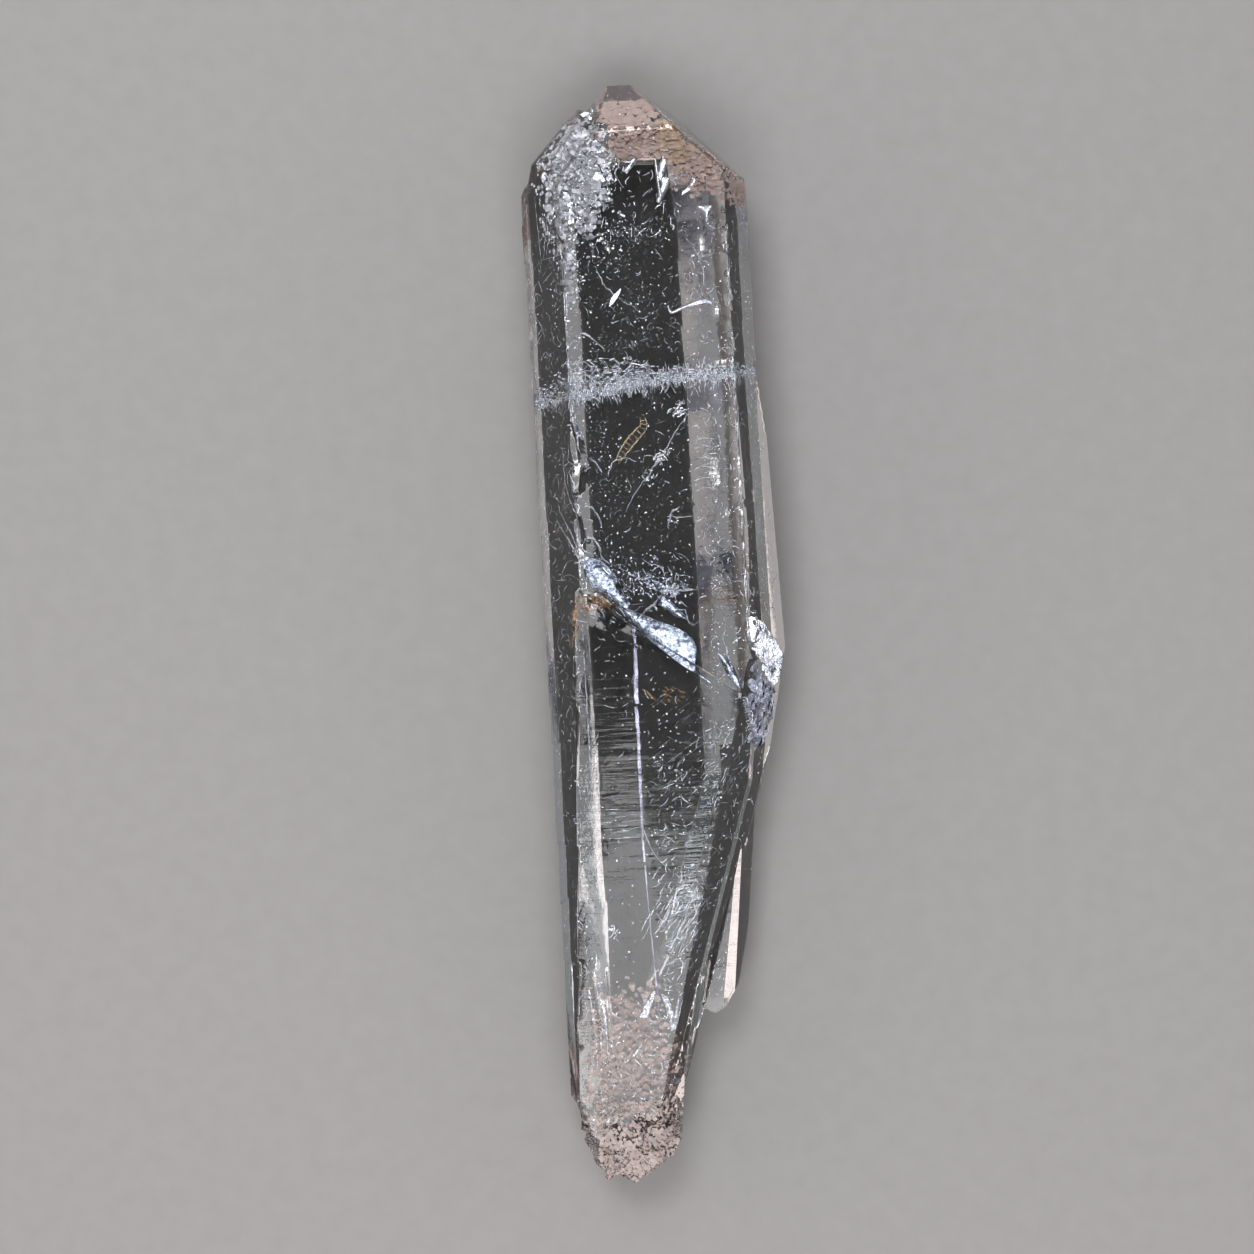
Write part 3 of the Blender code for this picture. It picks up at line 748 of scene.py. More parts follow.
def front_fracture(white, blue, star):
    """The bright lens, the long wing, the small wing and the star of the slanting crack."""
    lens = lit_sheet([(-12.2, 11.8), (-12.0, 9.4), (-10.6, 7.4), (-8.0, 5.3), (-5.8, 4.0)],
                     [(-11.6, 12.6), (-9.4, 11.9), (-7.2, 9.4), (-6.1, 6.6), (-5.2, 4.8)],
                     1.4, 71, bulge=0.08, thickness=0.2, steps=(90, 34), ripple=0.035, size=1.3)
    wing = lit_sheet([(-7.6, 5.0), (-4.6, 1.6), (-1.8, -1.7), (2.3, -5.3), (4.0, -6.4), (4.5, -6.0)],
                     [(-7.2, 5.2), (-4.6, 3.6), (-1.4, 2.2), (2.8, 0.2), (4.7, -1.9), (4.8, -5.4)],
                     1.8, 72, bulge=0.06, thickness=0.2, steps=(110, 36), ripple=0.03, size=1.8)
    seam = lit_sheet([(3.4, -5.8), (5.0, -7.2), (6.8, -8.5)], [(3.7, -5.4), (5.3, -6.9), (6.9, -8.3)],
                     1.8, 73, bulge=0.0, thickness=0.06, steps=(30, 6), ripple=0.04, size=0.8)
    small_wing = lit_sheet([(-0.9, 4.4), (0.5, 3.6), (1.6, 2.5), (3.2, 1.8), (4.7, 0.7)],
                           [(-0.1, 5.9), (1.4, 4.7), (2.8, 3.1), (3.9, 1.7), (4.8, 0.8)],
                           2.0, 74, bulge=0.05, steps=(60, 18), ripple=0.03, size=1.1)
    leaf = lit_sheet([(8.0, -3.6), (8.8, -5.8), (9.8, -8.0), (11.2, -9.4)],
                     [(8.6, -3.8), (10.0, -5.2), (10.9, -7.2), (11.9, -8.8)],
                     2.0, 75, bulge=0.05, steps=(50, 16), ripple=0.03, size=1.0)
    piece_from_arrays("slanting_crack", joined([lens, wing, seam, small_wing, leaf]), white, True)
    rays = []
    for turn, length in ((0.0, 3.4), (0.35, 1.3), (-0.4, 1.4), (1.2, 1.2), (2.0, 0.9), (math.pi, 2.0),
                         (-1.5, 1.1), (2.7, 1.0)):
        end = (1.4 + length * math.cos(turn), 6.5 + length * math.sin(turn))
        rays.append(winding([(1.4, 6.5), end], 0.8, 0.22, 12))
    centre = np.array([[1.4, 6.5, 22.1]])
    core = flakes(centre, lit_normals(centre), np.array([[1.3, 0.6, 0.03]]), 12, 0.3)
    haze = cloud([(0.6, 7.2, 2.0, 0.9, 1.0), (-3.0, 8.0, 2.2, 1.4, 0.8), (-8.0, 9.0, 3.0, 2.4, 0.8)],
                 (0.02, 0.2), 300, (0.05, 0.28), 0.09)
    rims = hair_arcs(scatter((-12.0, 2.0), (4.0, 12.0), 90), (0.4, 2.0), (0.8, 3.2), (0.03, 0.1),
                     1.0, -0.7, 0.4)
    piece_from_arrays("star_haze", joined([haze, rims]), blue)
    piece_from_arrays("star_flash", joined(rays + [core]), star)


def side_fracture(white, blue):
    """The white flare on the right side at the level of the bulge, and the bluish ribbed break under it."""
    upper = [(13.6, 1.6), (14.6, 1.0), (16.3, -1.5), (18.7, -5.7), (18.7, -7.8), (18.1, -10.3), (16.3, -8.3),
             (14.4, -4.5), (13.4, -1.6)]
    lower = [(13.4, -5.6), (15.6, -8.6), (17.6, -10.8), (16.4, -15.0), (14.4, -18.6), (12.4, -18.0),
             (12.2, -11.0)]
    flare = tiles(fan_scatter(upper, 620), (0.55, 1.5), (0.45, 1.0), 0.008)
    foot = tiles(fan_scatter(lower, 120), (0.4, 1.1), (0.6, 1.2), 0.012)
    ribs = []
    for number in range(13):
        share = number / 12.0
        start = (11.4 + 0.9 * share, -10.8 - 5.8 * share)
        end = (14.8 + 0.6 * share, -10.2 - 3.8 * share)
        middle = ((start[0] + end[0]) / 2 + 0.2, (start[1] + end[1]) / 2 - 0.3)
        ribs.append(winding([start, middle, end], 0.4, 0.14 + 0.06 * (number % 3), 18, 0.14, number))
    arcs = hair_arcs(scatter((11.6, -22.0), (17.2, -9.0), 260), (0.1, 0.5), (0.6, 2.6), (0.03, 0.11),
                     1.0, 0.8, 0.7)
    piece_from_arrays("side_flare", joined([flare] + ribs + [arcs]), white)
    piece_from_arrays("side_flare_foot", foot, blue)


def hairlines(white):
    """Single bright lines, wisps and flashes, each drawn through its own few places.

    Each row of lines holds its places, then its depth, width and wobble.
    """
    lines = [
        ([(-13.0, 44.9), (-10.6, 47.5), (-8.5, 46.3), (-6.8, 44.6)], 0.5, 0.13, 0.10),
        ([(5.5, 34.3), (2.7, 30.2), (1.0, 27.7), (-0.4, 25.8), (-3.6, 21.9), (-5.0, 19.3)], 2.0, 0.10, 0.35),
        ([(-13.0, 37.2), (-12.6, 34.7), (-11.9, 32.2), (-12.0, 29.5), (-10.7, 27.6)], 0.5, 0.22, 0.16),
        ([(-10.4, 27.9), (-9.4, 27.2), (-8.4, 25.6)], 0.8, 0.15, 0.12),
        ([(-14.5, 30.1), (-14.4, 25.3), (-13.9, 22.0), (-12.8, 18.8), (-12.2, 14.7)], 0.5, 0.12, 0.12),
        ([(-11.2, 20.6), (-10.2, 20.0), (-9.2, 18.2), (-8.9, 17.0)], 0.9, 0.16, 0.1),
        ([(-12.0, 14.7), (-10.7, 15.5), (-9.6, 14.1), (-9.1, 12.2), (-8.0, 11.2)], 1.1, 0.14, 0.1),
        ([(-11.6, 15.4), (-12.2, 14.0), (-11.2, 13.2), (-10.0, 13.8)], 1.0, 0.11, 0.1),
        ([(-16.2, 18.8), (-14.6, 16.0), (-13.2, 13.0), (-12.5, 11.5)], 0.8, 0.18, 0.18),
        ([(-15.4, 19.8), (-13.8, 16.2), (-12.6, 12.8)], 1.2, 0.13, 0.15),
        ([(-17.9, 19.4), (-18.0, 17.0), (-17.3, 15.0), (-16.4, 14.2)], 0.6, 0.13, 0.1),
        ([(-16.7, 70.4), (-16.5, 65.0), (-16.2, 59.5)], 0.4, 0.10, 0.1),
        ([(-14.2, 70.2), (-15.1, 65.0), (-15.8, 60.0)], 0.5, 0.10, 0.1),
        ([(-13.6, 69.0), (-14.4, 64.6), (-15.4, 60.6)], 0.6, 0.07, 0.1),
        ([(-18.2, 52.0), (-17.3, 50.6), (-16.5, 49.0)], 0.3, 0.10, 0.03),
        ([(0.9, 8.0), (-0.6, 5.4), (-3.2, 3.2), (-4.4, 2.2)], 0.8, 0.12, 0.2),
        ([(-3.0, 27.0), (-5.0, 27.6), (-6.6, 27.0), (-7.6, 24.8)], 1.4, 0.10, 0.3),
        ([(1.6, 18.6), (3.0, 17.9), (5.4, 18.0)], 1.2, 0.08, 0.1),
        ([(-8.0, 58.0), (-6.2, 54.4), (-3.2, 51.8), (-1.0, 50.6)], 2.0, 0.08, 0.5),
        ([(6.6, 62.0), (8.4, 58.6), (9.2, 55.0), (8.6, 52.4)], 2.0, 0.08, 0.4),
        ([(-4.0, 76.8), (-3.0, 74.6), (-3.6, 72.0), (-2.4, 69.8)], 1.4, 0.09, 0.3),
        ([(-4.2, 79.7), (-2.3, 79.2), (-0.7, 79.5)], 0.8, 0.08, 0.1),
        ([(-5.4, -29.0), (-4.0, -34.0), (-1.2, -37.6)], 0.6, 0.08, 0.1),
        ([(9.6, 0.8), (9.2, -2.6), (10.2, -6.0), (9.4, -9.2)], 1.6, 0.12, 0.5),
        ([(5.6, 6.4), (3.2, 6.6), (1.8, 6.4)], 1.0, 0.10, 0.08),
    ]
    made = [winding(points, depth, width, 60, wobble, 100 + number)
            for number, (points, depth, width, wobble) in enumerate(lines)]
    steps = [winding([(5.9, y), (7.4, y + 0.5), (9.4, y + 0.2)], 0.4, 0.10, 20, 0.1, 230 + number)
             for number, y in enumerate((21.8, 23.4, 25.2, 26.6, 28.4, 29.6))]
    wisp = lit_sheet([(3.2, 51.0), (3.7, 49.8), (5.9, 50.5), (8.8, 51.2), (10.2, 51.0)],
                     [(3.4, 51.2), (3.9, 50.3), (5.8, 51.0), (8.6, 51.9), (9.9, 51.5)],
                     1.3, 130, steps=(50, 8), ripple=0.02, size=0.8)
    flash = lit_sheet([(-5.9, 51.4), (-5.4, 52.8), (-4.0, 54.2)], [(-5.3, 51.9), (-4.4, 53.0), (-3.9, 54.0)],
                      1.0, 131, steps=(30, 8), ripple=0.02, size=0.8)
    sprays = [((4.1, 35.0), (0.9, 0.7), 40), ((0.9, 27.6), (0.5, 0.6), 26), ((-1.2, 24.6), (0.4, 0.8), 14),
              ((2.2, 18.2), (0.6, 0.4), 12), ((-10.5, -47.1), (0.5, 0.5), 14)]
    bursts = [hair_arcs(heap(place, spread, count), (1.0, 3.0), (0.4, 1.7), (0.05, 0.14), 0.8, 0.5, 0.6)
              for place, spread, count in sprays]
    piece_from_arrays("hairlines", joined(made + steps + [wisp, flash] + bursts), white)


def golden_tube(gold):
    """A bent hollow channel with a golden lining: two thin walls and cross ribs."""
    centre = curve_through([(-1.6, 33.9), (-1.7, 32.3), (-3.4, 30.5), (-4.8, 28.8), (-6.1, 27.0)], 60)
    ahead = unit(np.gradient(centre, axis=0))
    side = np.column_stack([-ahead[:, 1], ahead[:, 0]])
    half = (0.25 + 0.45 * np.sin(np.pi * np.linspace(0.05, 0.95, 60)))[:, None]
    walls = [winding(centre + side * half * way, 1.6, 0.12, 60, 0.12, 140 + way) for way in (-1, 1)]
    ribs = [winding([centre[k] - side[k] * half[k] * 0.9, centre[k] + side[k] * half[k] * 0.9], 1.5, 0.07, 8)
            for k in range(6, 56, 5)]
    piece_from_arrays("golden_channel", joined(walls + ribs), gold)


def brown_stain(brown):
    """Curls of iron stain at the left foot of the slanting crack, and a scratch under the ridge's head."""
    curls = [
        [(-14.4, 5.4), (-13.2, 6.3), (-11.8, 6.2), (-10.6, 5.2), (-11.6, 4.4), (-13.0, 4.6)],
        [(-12.8, 3.6), (-11.0, 4.2), (-9.6, 5.6), (-8.4, 5.6), (-7.9, 4.9)],
        [(-13.6, 5.0), (-13.9, 2.6), (-14.3, 0.2), (-14.8, -1.8)],
        [(-10.9, 6.4), (-9.9, 6.6), (-9.0, 5.4), (-9.6, 4.2)],
        [(-4.2, -8.6), (-3.2, -9.4), (-2.1, -10.5)],
    ]
    ribbons = [winding(points, 0.9, 0.16, 60, 0.2, 150 + number) for number, points in enumerate(curls)]
    spots = cloud([(-11.0, 5.0, 1.6, 0.8, 1.0), (-9.2, 5.2, 0.9, 0.5, 0.6)], (0.02, 0.12), 240,
                  (0.06, 0.3), 0.08)
    hatch = hair_arcs(scatter((-1.2, -11.2), (2.6, -8.5), 34), (0.3, 0.8), (0.5, 1.4), (0.03, 0.07),
                      0.3, -0.5, 0.2)
    piece_from_arrays("iron_stain", joined(ribbons + [spots, hatch]), brown)


def specks(white):
    """Bubbles and dust all through the crystal: flat discs, most of which catch the light.

    Each region is a rectangle from its low to its high corner, and a count.
    """
    regions = [
        ((-18.4, -60.0), (-13.2, 66.0), 620), ((-13.0, 4.0), (5.6, 66.0), 760),
        ((-13.0, -60.0), (5.6, 4.0), 480), ((-12.8, 6.0), (-7.0, 40.0), 120),
        ((6.0, -12.0), (13.0, 66.0), 420), ((13.2, -12.0), (17.6, 68.0), 460),
        ((-8.0, 72.0), (8.0, 86.0), 170), ((-2.0, -56.0), (13.0, -12.0), 520),
        ((-14.5, -84.0), (-2.4, -58.0), 300),
    ]
    groups = []
    for low, high, count in regions:
        points, good = depths.inside(scatter(low, high, count), chance.random(count) ** 2 * 0.6, 0.3)
        points = points[good]
        radius = 0.035 + 0.11 * chance.random(len(points)) ** 3
        sizes = np.column_stack([radius, radius, radius * 0.06])
        groups.append(flakes(points, nudged(lit_normals(points), 0.05), sizes, 7, 0.1))
    piece_from_arrays("bubbles", joined(groups), white)


def surface_marks(veil):
    """Feathery arcs and short scratches of the outer skin, thickest low on the front and on both sides.

    Each row of marks holds how its places are spread, and the depth, length, width, bending, heading and
    spread of headings of its hairs.
    """
    left, right = (LEFT_BOX_MM, NORTH_BOX_MM), (RIGHT_BOX_MM, NORTH_BOX_MM)
    marks = [
        (scatter, (-4.0, -58.0), (7.0, -20.0), 460, (0.12, 0.8), (0.5, 2.2), (0.02, 0.08), 1.4, 0.5, 0.8),
        (scatter, (-18.2, -10.0), (-13.4, 60.0), 420,
         (0.2, 2.0), (0.6, 3.2), (0.02, 0.08), 1.8, 1.4, 0.6, 0.08, left),
        (scatter, (-18.2, -60.0), (-13.4, -10.0), 170,
         (0.2, 2.0), (0.6, 2.8), (0.02, 0.07), 1.8, 1.4, 0.6, 0.08, left),
        (scatter, (13.4, -10.0), (17.6, 66.0), 300,
         (0.2, 2.0), (0.6, 3.0), (0.02, 0.08), 1.6, 1.4, 0.6, 0.08, right),
        (scatter, (-12.6, 44.0), (5.0, 66.0), 200,
         (0.3, 7.0), (0.4, 2.2), (0.01, 0.045), 1.8, 0.9, 1.0, 0.1),
        (scatter, (-12.6, 8.0), (5.0, 38.0), 150, (0.3, 7.0), (0.4, 2.0), (0.012, 0.05), 1.6, 0.9, 1.0, 0.1),
        (scatter, (-12.6, -20.0), (5.0, 4.0), 60, (0.3, 6.0), (0.5, 2.0), (0.02, 0.06), 1.6, 0.9, 1.0),
        (scatter, (6.2, -8.0), (12.8, 64.0), 220, (0.3, 6.0), (0.4, 2.2), (0.02, 0.08), 1.6, 1.0, 0.9),
        (heap, (-8.2, -29.5), (1.6, 2.4), 44, (0.15, 0.5), (0.8, 3.2), (0.012, 0.04), 0.15, 0.0, 0.03),
        (scatter, (6.0, -40.0), (12.6, -14.0), 240, (0.12, 1.4), (0.6, 2.4), (0.02, 0.09), 1.2, 1.0, 0.9),
        (scatter, (-4.0, -27.0), (5.6, -8.0), 90,
         (0.1, 0.3), (3.0, 8.0), (0.008, 0.02), 0.02, 0.6, 0.03, 0.01),
        (heap, (2.2, -42.0), (1.3, 1.6), 70, (0.3, 2.0), (0.6, 2.6), (0.03, 0.11), 0.8, 1.0, 0.9),
        (heap, (-0.6, -46.0), (2.0, 3.0), 60, (0.6, 2.0), (1.2, 4.6), (0.03, 0.09), 0.3, 1.0, 0.12),
    ]
    groups = [hair_arcs(places(first, second, count), *form)
              for places, first, second, count, *form in marks]
    piece_from_arrays("surface_marks", joined(groups), veil)


def root_pieces(white, haze, black):
    """Rosy cloud, bright shards, dark flecks and the grey patch of rock in the broken root."""
    patches = [(-9.5, -70.0, 3.0, 4.0, 1.0), (-9.0, -76.0, 3.4, 3.0, 1.2), (-9.4, -79.6, 2.4, 1.4, 0.5),
               (-12.0, -64.0, 1.6, 4.0, 0.5), (-6.0, -66.0, 2.4, 4.0, 0.6)]
    piece_from_arrays("root_cloud", cloud(patches, (0.03, 0.6), 1300, (0.08, 0.42), 0.08, 0.05), haze)
    shards = [
        ([(-7.4, -60.6), (-6.2, -58.6), (-4.9, -56.4)], [(-6.2, -60.8), (-5.4, -58.8), (-4.6, -56.8)]),
        ([(-8.9, -66.8), (-7.1, -64.8), (-5.3, -62.8)], [(-8.5, -66.9), (-6.8, -64.7), (-5.0, -62.6)]),
        ([(-3.8, -57.0), (-3.0, -60.0), (-2.5, -63.0)], [(-2.8, -57.4), (-2.0, -60.2), (-2.0, -62.8)]),
        ([(-1.0, -57.6), (-1.8, -60.0), (-2.2, -62.4)], [(-0.4, -58.2), (-1.0, -60.6), (-1.8, -62.8)]),
        ([(-13.4, -57.6), (-13.0, -61.8), (-12.8, -66.4)], [(-12.6, -57.8), (-12.4, -61.8), (-12.6, -66.2)]),
        ([(-14.2, -76.2), (-13.8, -77.4), (-13.6, -78.6)], [(-13.2, -76.0), (-12.8, -77.2), (-13.0, -78.4)]),
    ]
    sheets = lit_sheets(shards, 1.0, 170, thickness=0.1, steps=(40, 12), ripple=0.09, size=0.6)
    arcs = hair_arcs(scatter((-14.0, -84.0), (-2.6, -60.0), 200), (0.2, 3.0), (0.5, 2.0), (0.03, 0.10),
                     1.6, 1.0, 1.0)
    piece_from_arrays("root_shards", joined(sheets + [arcs]), white)
    flecks = hair_arcs(scatter((-14.6, -85.0), (-3.0, -74.0), 44), (0.3, 2.0), (0.3, 1.4), (0.04, 0.13),
                       1.4, 0.6, 0.9)
    rock = cloud([(-3.5, -79.6, 0.4, 1.2, 1.0), (-4.4, -83.4, 0.4, 0.4, 0.3)], (0.02, 0.2), 70,
                 (0.15, 0.5), 0.3, 0.5)
    piece_from_arrays("rock_flecks", joined([flecks, rock]), black)


def root_crust(crust):
    """Sugary crust of the smallest crystal faces on the broken end, thickest at its rim."""
    edge = np.concatenate([scatter((-15.0, -87.6), (-2.2, -79.0), 1900),
                           scatter((-14.6, -79.0), (-2.4, -74.0), 420)])
    front, _ = depths.surfaces(edge)
    known = np.isfinite(front)
    points = np.column_stack([edge, np.nan_to_num(front) + 0.02])[known]
    normals = depths.front_normals(edge)[known]
    large = 0.14 + 0.5 * chance.random(len(points)) ** 2
    sizes = flake_sizes(large, (0.5, 1.0), 0.16)
    piece_from_arrays("root_crust", flakes(points, nudged(normals, 0.22), sizes, 6), crust)


def ridge_glints(white):
    """Painted highlight along the ridge below the step: a narrow bright mirror sheet just under the surface,
    thinning to a line towards the root.
    """
    places = [(-4.7, 1.0), (-5.0, -10.5), (-5.2, -23.3), (-5.3, -32.9), (-5.0, -42.6), (-4.5, -53.8),
              (-4.1, -63.4), (-3.8, -70.7), (-3.2, -79.0)]
    runs = ((1.0, -11.0), (-11.3, -22.0), (-22.2, -36.0), (-36.4, -56.0), (-56.2, -78.0))
    stretches = []
    for number, (start, end) in enumerate(runs):
        y = np.linspace(start, end, 60)
        x = np.interp(y, [place[1] for place in places[::-1]], [place[0] for place in places[::-1]])
        half = np.interp(y, [-79.0, -56.0, -40.0, -24.0, -8.0, 1.0], [0.06, 0.10, 0.14, 0.3, 0.42, 0.25])
        ragged = noise_field(np.column_stack([x, y, 0.0 * y]) / 1.2, 190, 3)
        left = np.column_stack([x - half * (1.0 + 0.4 * ragged), y])
        right = np.column_stack([x + half * (1.0 - 0.5 * ragged), y])
        stretches.append(lit_sheet(left, right, 0.5, 191 + number, bulge=0.0, thickness=0.06, steps=(120, 8),
                                   ripple=0.03, size=1.2))
    piece_from_arrays("ridge_glint", joined(stretches), white, True)


def ridge_lines(white):
    """Painted highlight: thin mirror ribbons just under the crystal's long edges, which stand in for the
    edges' own highlight, broken where the edge is chipped.
    """
    edges = [
        ([(-12.9, 66.0), (-12.9, 30.0), (-12.9, -10.0), (-12.9, -50.0)], 30),
        ([(12.9, 64.0), (12.9, 40.0), (12.9, 10.0), (12.9, -8.0)], 24),
    ]
    pieces = []
    for number, (places, count) in enumerate(edges):
        places = np.array(places)
        cuts = np.sort(chance.uniform(places[-1, 1], places[0, 1], count))[::-1]
        for start, end in zip(cuts[:-1], cuts[1:]):
            if start - end < 0.8:
                continue
            y = np.linspace(start - 0.2, end + 0.2, 4)
            pieces.append(winding(np.column_stack([np.full(4, places[0, 0]), y]), 0.12,
                                  chance.uniform(0.05, 0.11), 24, 0.04, 300 + number))
    piece_from_arrays("ridge_lines", joined(pieces), white)


def tiles(xy, depth_mm, size, spread=0.012, boxes=(NORTH_BOX_MM, SOUTH_BOX_MM), first_share=0.6):
    """Thin many-cornered tiles at the given places, which overlap under the front surface as a film does."""
    front, back = depths.surfaces(xy)
    z = front - chance.uniform(*depth_mm, len(xy))
    points = np.column_stack([xy, z])[np.nan_to_num(z - back, nan=-1.0) > TILE_ROOM_MM]
    large = size[0] + (size[1] - size[0]) * chance.random(len(points))
    sizes = flake_sizes(large, (0.6, 1.0), 0.015)
    return flakes(points, nudged(lit_normals(points, boxes, first_share), spread), sizes, 9, 0.35)


def soft_films(rosy, ochre, milk, root):
    """Films that tint the point, whiten its left shoulder and fill the root with a rosy mist."""
    dim = (POINT_END_BOX_MM, ROOT_END_BOX_MM)
    point = np.concatenate([scatter((-4.2, 74.7), (3.4, 80.4), 320),
                            scatter((-6.0, 80.2), (3.0, 84.2), 260)])
    between = [(9.4, 73.4), (11.0, 75.6), (13.4, 73.0), (13.0, 67.0), (10.6, 69.0)]
    cheek = np.concatenate([heap((8.8, 72.6), (1.2, 1.8), 130), scatter((13.4, 66.8), (16.4, 73.0), 170),
                            fan_scatter(between, 90)])
    shapes = [tiles(point, (0.7, 1.5), (0.4, 0.8), 0.012, dim, 1.0),
              tiles(cheek, (0.6, 1.2), (0.35, 0.7), 0.012, dim, 1.0)]
    piece_from_arrays("tip_film", joined(shapes), rosy)
    right = np.concatenate([scatter((3.4, 76.4), (6.6, 80.0), 110), heap((6.4, 75.6), (1.6, 1.6), 120)])
    piece_from_arrays("tip_film_ochre", tiles(right, (0.7, 1.5), (0.35, 0.7), 0.012, dim, 1.0), ochre)
    shoulder = np.concatenate([heap((-8.8, 70.5), (1.7, 3.2), 420), heap((-9.0, 76.0), (1.6, 1.8), 200),
                               heap((-12.6, 68.5), (1.2, 3.0), 160), heap((-11.8, 61.0), (0.6, 3.4), 60)])
    slope = np.concatenate([heap((-12.2, 74.4), (1.2, 1.8), 240), heap((-10.0, 79.0), (1.2, 1.4), 200)])
    mixed = (NORTH_BOX_MM, POINT_END_BOX_MM)
    shapes = [tiles(shoulder, (0.8, 2.6), (0.2, 0.75), 0.035, mixed, 0.22),
              tiles(slope, (0.45, 1.0), (0.25, 0.6), 0.03, mixed, 0.22)]
    piece_from_arrays("tip_milk", joined(shapes), milk)
    mist = np.concatenate([heap((-8.6, -76.0), (2.8, 5.0), 900), heap((-8.4, -64.0), (2.4, 4.0), 260),
                           scatter((-13.0, -82.4), (-4.4, -78.0), 380)])
    piece_from_arrays("root_film", tiles(mist, (0.7, 2.4), (0.3, 0.8), 0.03, dim[::-1], 1.0), root)


def soft_mist(veil):
    """Faint mists of the smallest flakes in the clear middle."""
    patches = [(-1.0, 63.5, 3.0, 1.0, 1.0), (-3.4, 59.0, 2.2, 2.4, 0.7), (-2.0, 52.0, 3.0, 2.0, 0.6),
               (-4.0, 45.6, 4.4, 0.8, 0.8), (-6.0, 22.0, 2.4, 5.0, 0.8), (-9.0, 30.0, 1.6, 5.0, 0.8),
               (0.5, 20.0, 2.4, 4.0, 0.4)]
    piece_from_arrays("soft_mist", cloud(patches, (0.03, 0.5), 420, (0.03, 0.11), 0.12), veil)


def inner_pieces():
    """All that lies in the crystal, with the colours that its breaks and films run between.

    After the two colours stand the texture's size, the roughness and its spread, and the relief.
    """
    white = break_material("white break", (0.30, 0.34, 0.44), (0.98, 0.98, 1.0), 700.0, 0.16, 0.25, 0.18)
    crack = break_material("crack surface", (0.022, 0.028, 0.042), (0.42, 0.47, 0.58),
                           430.0, 0.18, 0.25, 0.12, (0.38, 0.58))
    blue = break_material("blue white break", (0.16, 0.20, 0.34), (0.90, 0.94, 1.0), 600.0, 0.18, 0.25, 0.2)
    lavender = break_material("lavender glint", (0.14, 0.14, 0.19), (0.50, 0.50, 0.62),
                              # colour of the ridge's painted highlight
                              140.0, 0.3, 0.25, 0.15, (0.40, 0.60))
    veil = break_material("healed veil", (0.30, 0.33, 0.40), (0.88, 0.90, 0.98), 500.0, 0.25, 0.3, 0.2)
    gold = break_material("golden lining", (0.42, 0.30, 0.16), (0.86, 0.74, 0.52), 900.0, 0.3, 0.3, 0.2)
    brown = break_material("iron stain", (0.14, 0.07, 0.03), (0.62, 0.40, 0.24), 800.0, 0.3, 0.3, 0.3)
    foot = break_material("bluish break", (0.030, 0.034, 0.046), (0.26, 0.27, 0.33),
                          420.0, 0.2, 0.3, 0.15, (0.40, 0.60))
    crust = break_material("sugary crust", (0.50, 0.395, 0.365), (0.80, 0.68, 0.64),
                           420.0, 0.5, 0.3, 0.4, (0.36, 0.60), 0.0)
    haze = break_material("rosy cloud", (0.44, 0.31, 0.28), (0.86, 0.66, 0.60), 500.0, 0.4, 0.3, 0.2)
    film = break_material("rosy film", (0.55, 0.41, 0.37), (0.75, 0.58, 0.53), 260.0, 0.3, 0.2, 0.1)
    ochre = break_material("ochre film", (0.55, 0.39, 0.29), (0.85, 0.66, 0.52), 260.0, 0.3, 0.2, 0.1)
    milk = break_material("milky film", (0.52, 0.52, 0.57), (0.94, 0.94, 1.0), 420.0, 0.42, 0.25, 0.12)
    root = break_material("root mist", (0.50, 0.39, 0.37), (0.85, 0.72, 0.68), 320.0, 0.3, 0.3, 0.12)
    black = break_material("dark rock", (0.02, 0.02, 0.02), (0.16, 0.15, 0.14), 900.0, 0.5, 0.2, 0.5)
    tip_fractures(white)
    cross_veil(veil)
    front_fracture(crack, blue, white)
    side_fracture(white, foot)
    hairlines(white)
    golden_tube(gold)
    brown_stain(brown)
    specks(white)
    surface_marks(veil)
    root_pieces(white, haze, black)
    root_crust(crust)
    # painted highlight along the ridge below the step
    ridge_glints(lavender)
    # painted highlight along the crystal's long edges
    ridge_lines(white)
    soft_films(film, ochre, milk, root)
    soft_mist(veil)


# Stage

def floor_piece():
    """A plain pale floor with the faintest grain."""
    material, tree, output = node_tree("pale floor")
    shader = add(tree, "ShaderNodeBsdfPrincipled", Roughness=0.6)
    place = add(tree, "ShaderNodeTexCoord")
    grain = add(tree, "ShaderNodeTexNoise", Scale=300.0, Detail=4.0)
    ramp = add(tree, "ShaderNodeMix", data_type="RGBA")
    ramp.inputs["A"].default_value = (0.43, 0.415, 0.405, 1.0)
    ramp.inputs["B"].default_value = (0.49, 0.475, 0.465, 1.0)
    wire(tree,
         (place, "Object", grain, "Vector"),
         (grain, "Fac", ramp, "Factor"),
         (ramp, "Result", shader, "Base Color"),
         (shader, "BSDF", output, "Surface"))
    corners = np.array([(-1.0, -1.0, 0.0), (1.0, -1.0, 0.0), (1.0, 1.0, 0.0), (-1.0, 1.0, 0.0)])
    corners *= FLOOR_HALF_MM
    corners[:, 2] -= FLOOR_GAP_MM
    mesh = bpy.data.meshes.new("floor")
    mesh.from_pydata((corners * MM).tolist(), [], [(0, 1, 2, 3)])
    mesh.materials.append(material)
    made = linked("floor", mesh)


def soft_box(name, place_mm, size_mm, brightness, colour):
    """A rectangular light facing the middle of the crystal, as bright as BRIGHTNESS from all sides."""
    data = bpy.data.lights.new(name, "AREA")
    data.shape = "RECTANGLE"
    data.size = size_mm[0] * MM
    data.size_y = size_mm[1] * MM
    data.energy = brightness * math.pi * data.size * data.size_y
    data.color = colour
    made = linked(name, data)
    place = Vector(place_mm) * MM
    made.location = place
    made.rotation_euler = (-place).to_track_quat("-Z", "Y").to_euler()


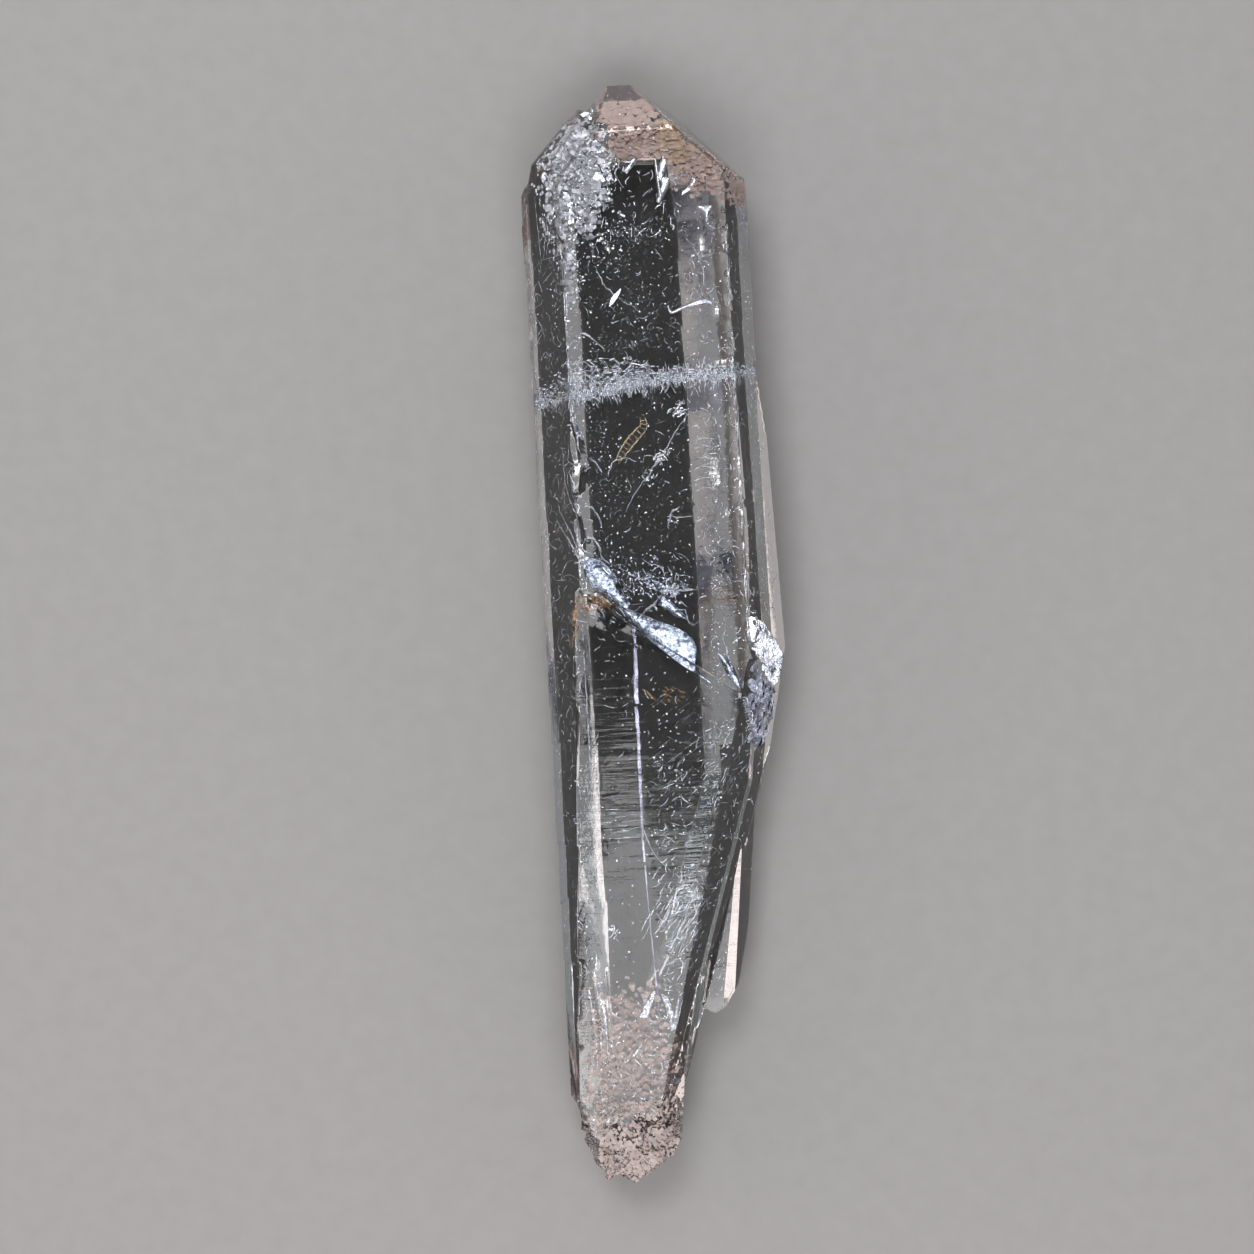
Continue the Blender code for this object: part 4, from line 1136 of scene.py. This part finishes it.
def lights():
    """Soft boxes round the crystal, and a dim even sky."""
    soft_box("light_left", LEFT_BOX_MM, (900.0, 360.0), 0.8, (1.0, 0.87, 0.82))
    soft_box("light_right", RIGHT_BOX_MM, (700.0, 300.0), 0.62, (1.0, 0.95, 0.94))
    soft_box("light_right_high", (560.0, 60.0, 640.0), (260.0, 500.0), 0.12, (0.93, 0.95, 1.0))
    soft_box("light_left_high", (-560.0, 60.0, 640.0), (260.0, 500.0), 0.10, (1.0, 0.96, 0.94))
    soft_box("light_north", NORTH_BOX_MM, (440.0, 380.0), 6.0, (0.97, 0.98, 1.0))
    soft_box("light_south", SOUTH_BOX_MM, (700.0, 380.0), 4.5, (0.98, 0.98, 1.0))
    soft_box("light_top", POINT_END_BOX_MM, (800.0, 260.0), 1.1, (0.97, 0.98, 1.0))
    soft_box("light_foot", ROOT_END_BOX_MM, (900.0, 300.0), 1.0, (1.0, 0.80, 0.72))
    soft_box("light_point", (300.0, -680.0, 590.0), (300.0, 240.0), 0.9, (0.94, 0.92, 1.0))
    soft_box("light_zenith", (0.0, 0.0, 1300.0), (520.0, 560.0), 0.16, (1.0, 0.98, 1.0))
    world = bpy.data.worlds.new("studio")
    world.use_nodes = True
    back = world.node_tree.nodes["Background"]
    back.inputs["Color"].default_value = (0.50, 0.56, 0.58, 1.0)
    back.inputs["Strength"].default_value = 0.17
    bpy.context.scene.world = world


def camera():
    """The camera straight above, turned by the crystal's lean in the photo."""
    data = bpy.data.cameras.new("camera")
    data.lens = LENS_MM
    data.sensor_width = SENSOR_MM
    data.clip_start = 0.01
    made = linked("camera", data)
    made.location = [value * MM for value in EYE_MM]
    made.rotation_euler = (0.0, 0.0, math.radians(LEAN_DEGREES))
    bpy.context.scene.camera = made


camera()
lights()
floor_piece()
crystal_piece(quartz_material())
inner_pieces()
settings = bpy.context.scene.cycles
settings.caustics_refractive = False
settings.caustics_reflective = False
settings.max_bounces = 14
settings.glossy_bounces = 12
settings.transmission_bounces = 12
bpy.context.scene.view_settings.view_transform = "Standard"
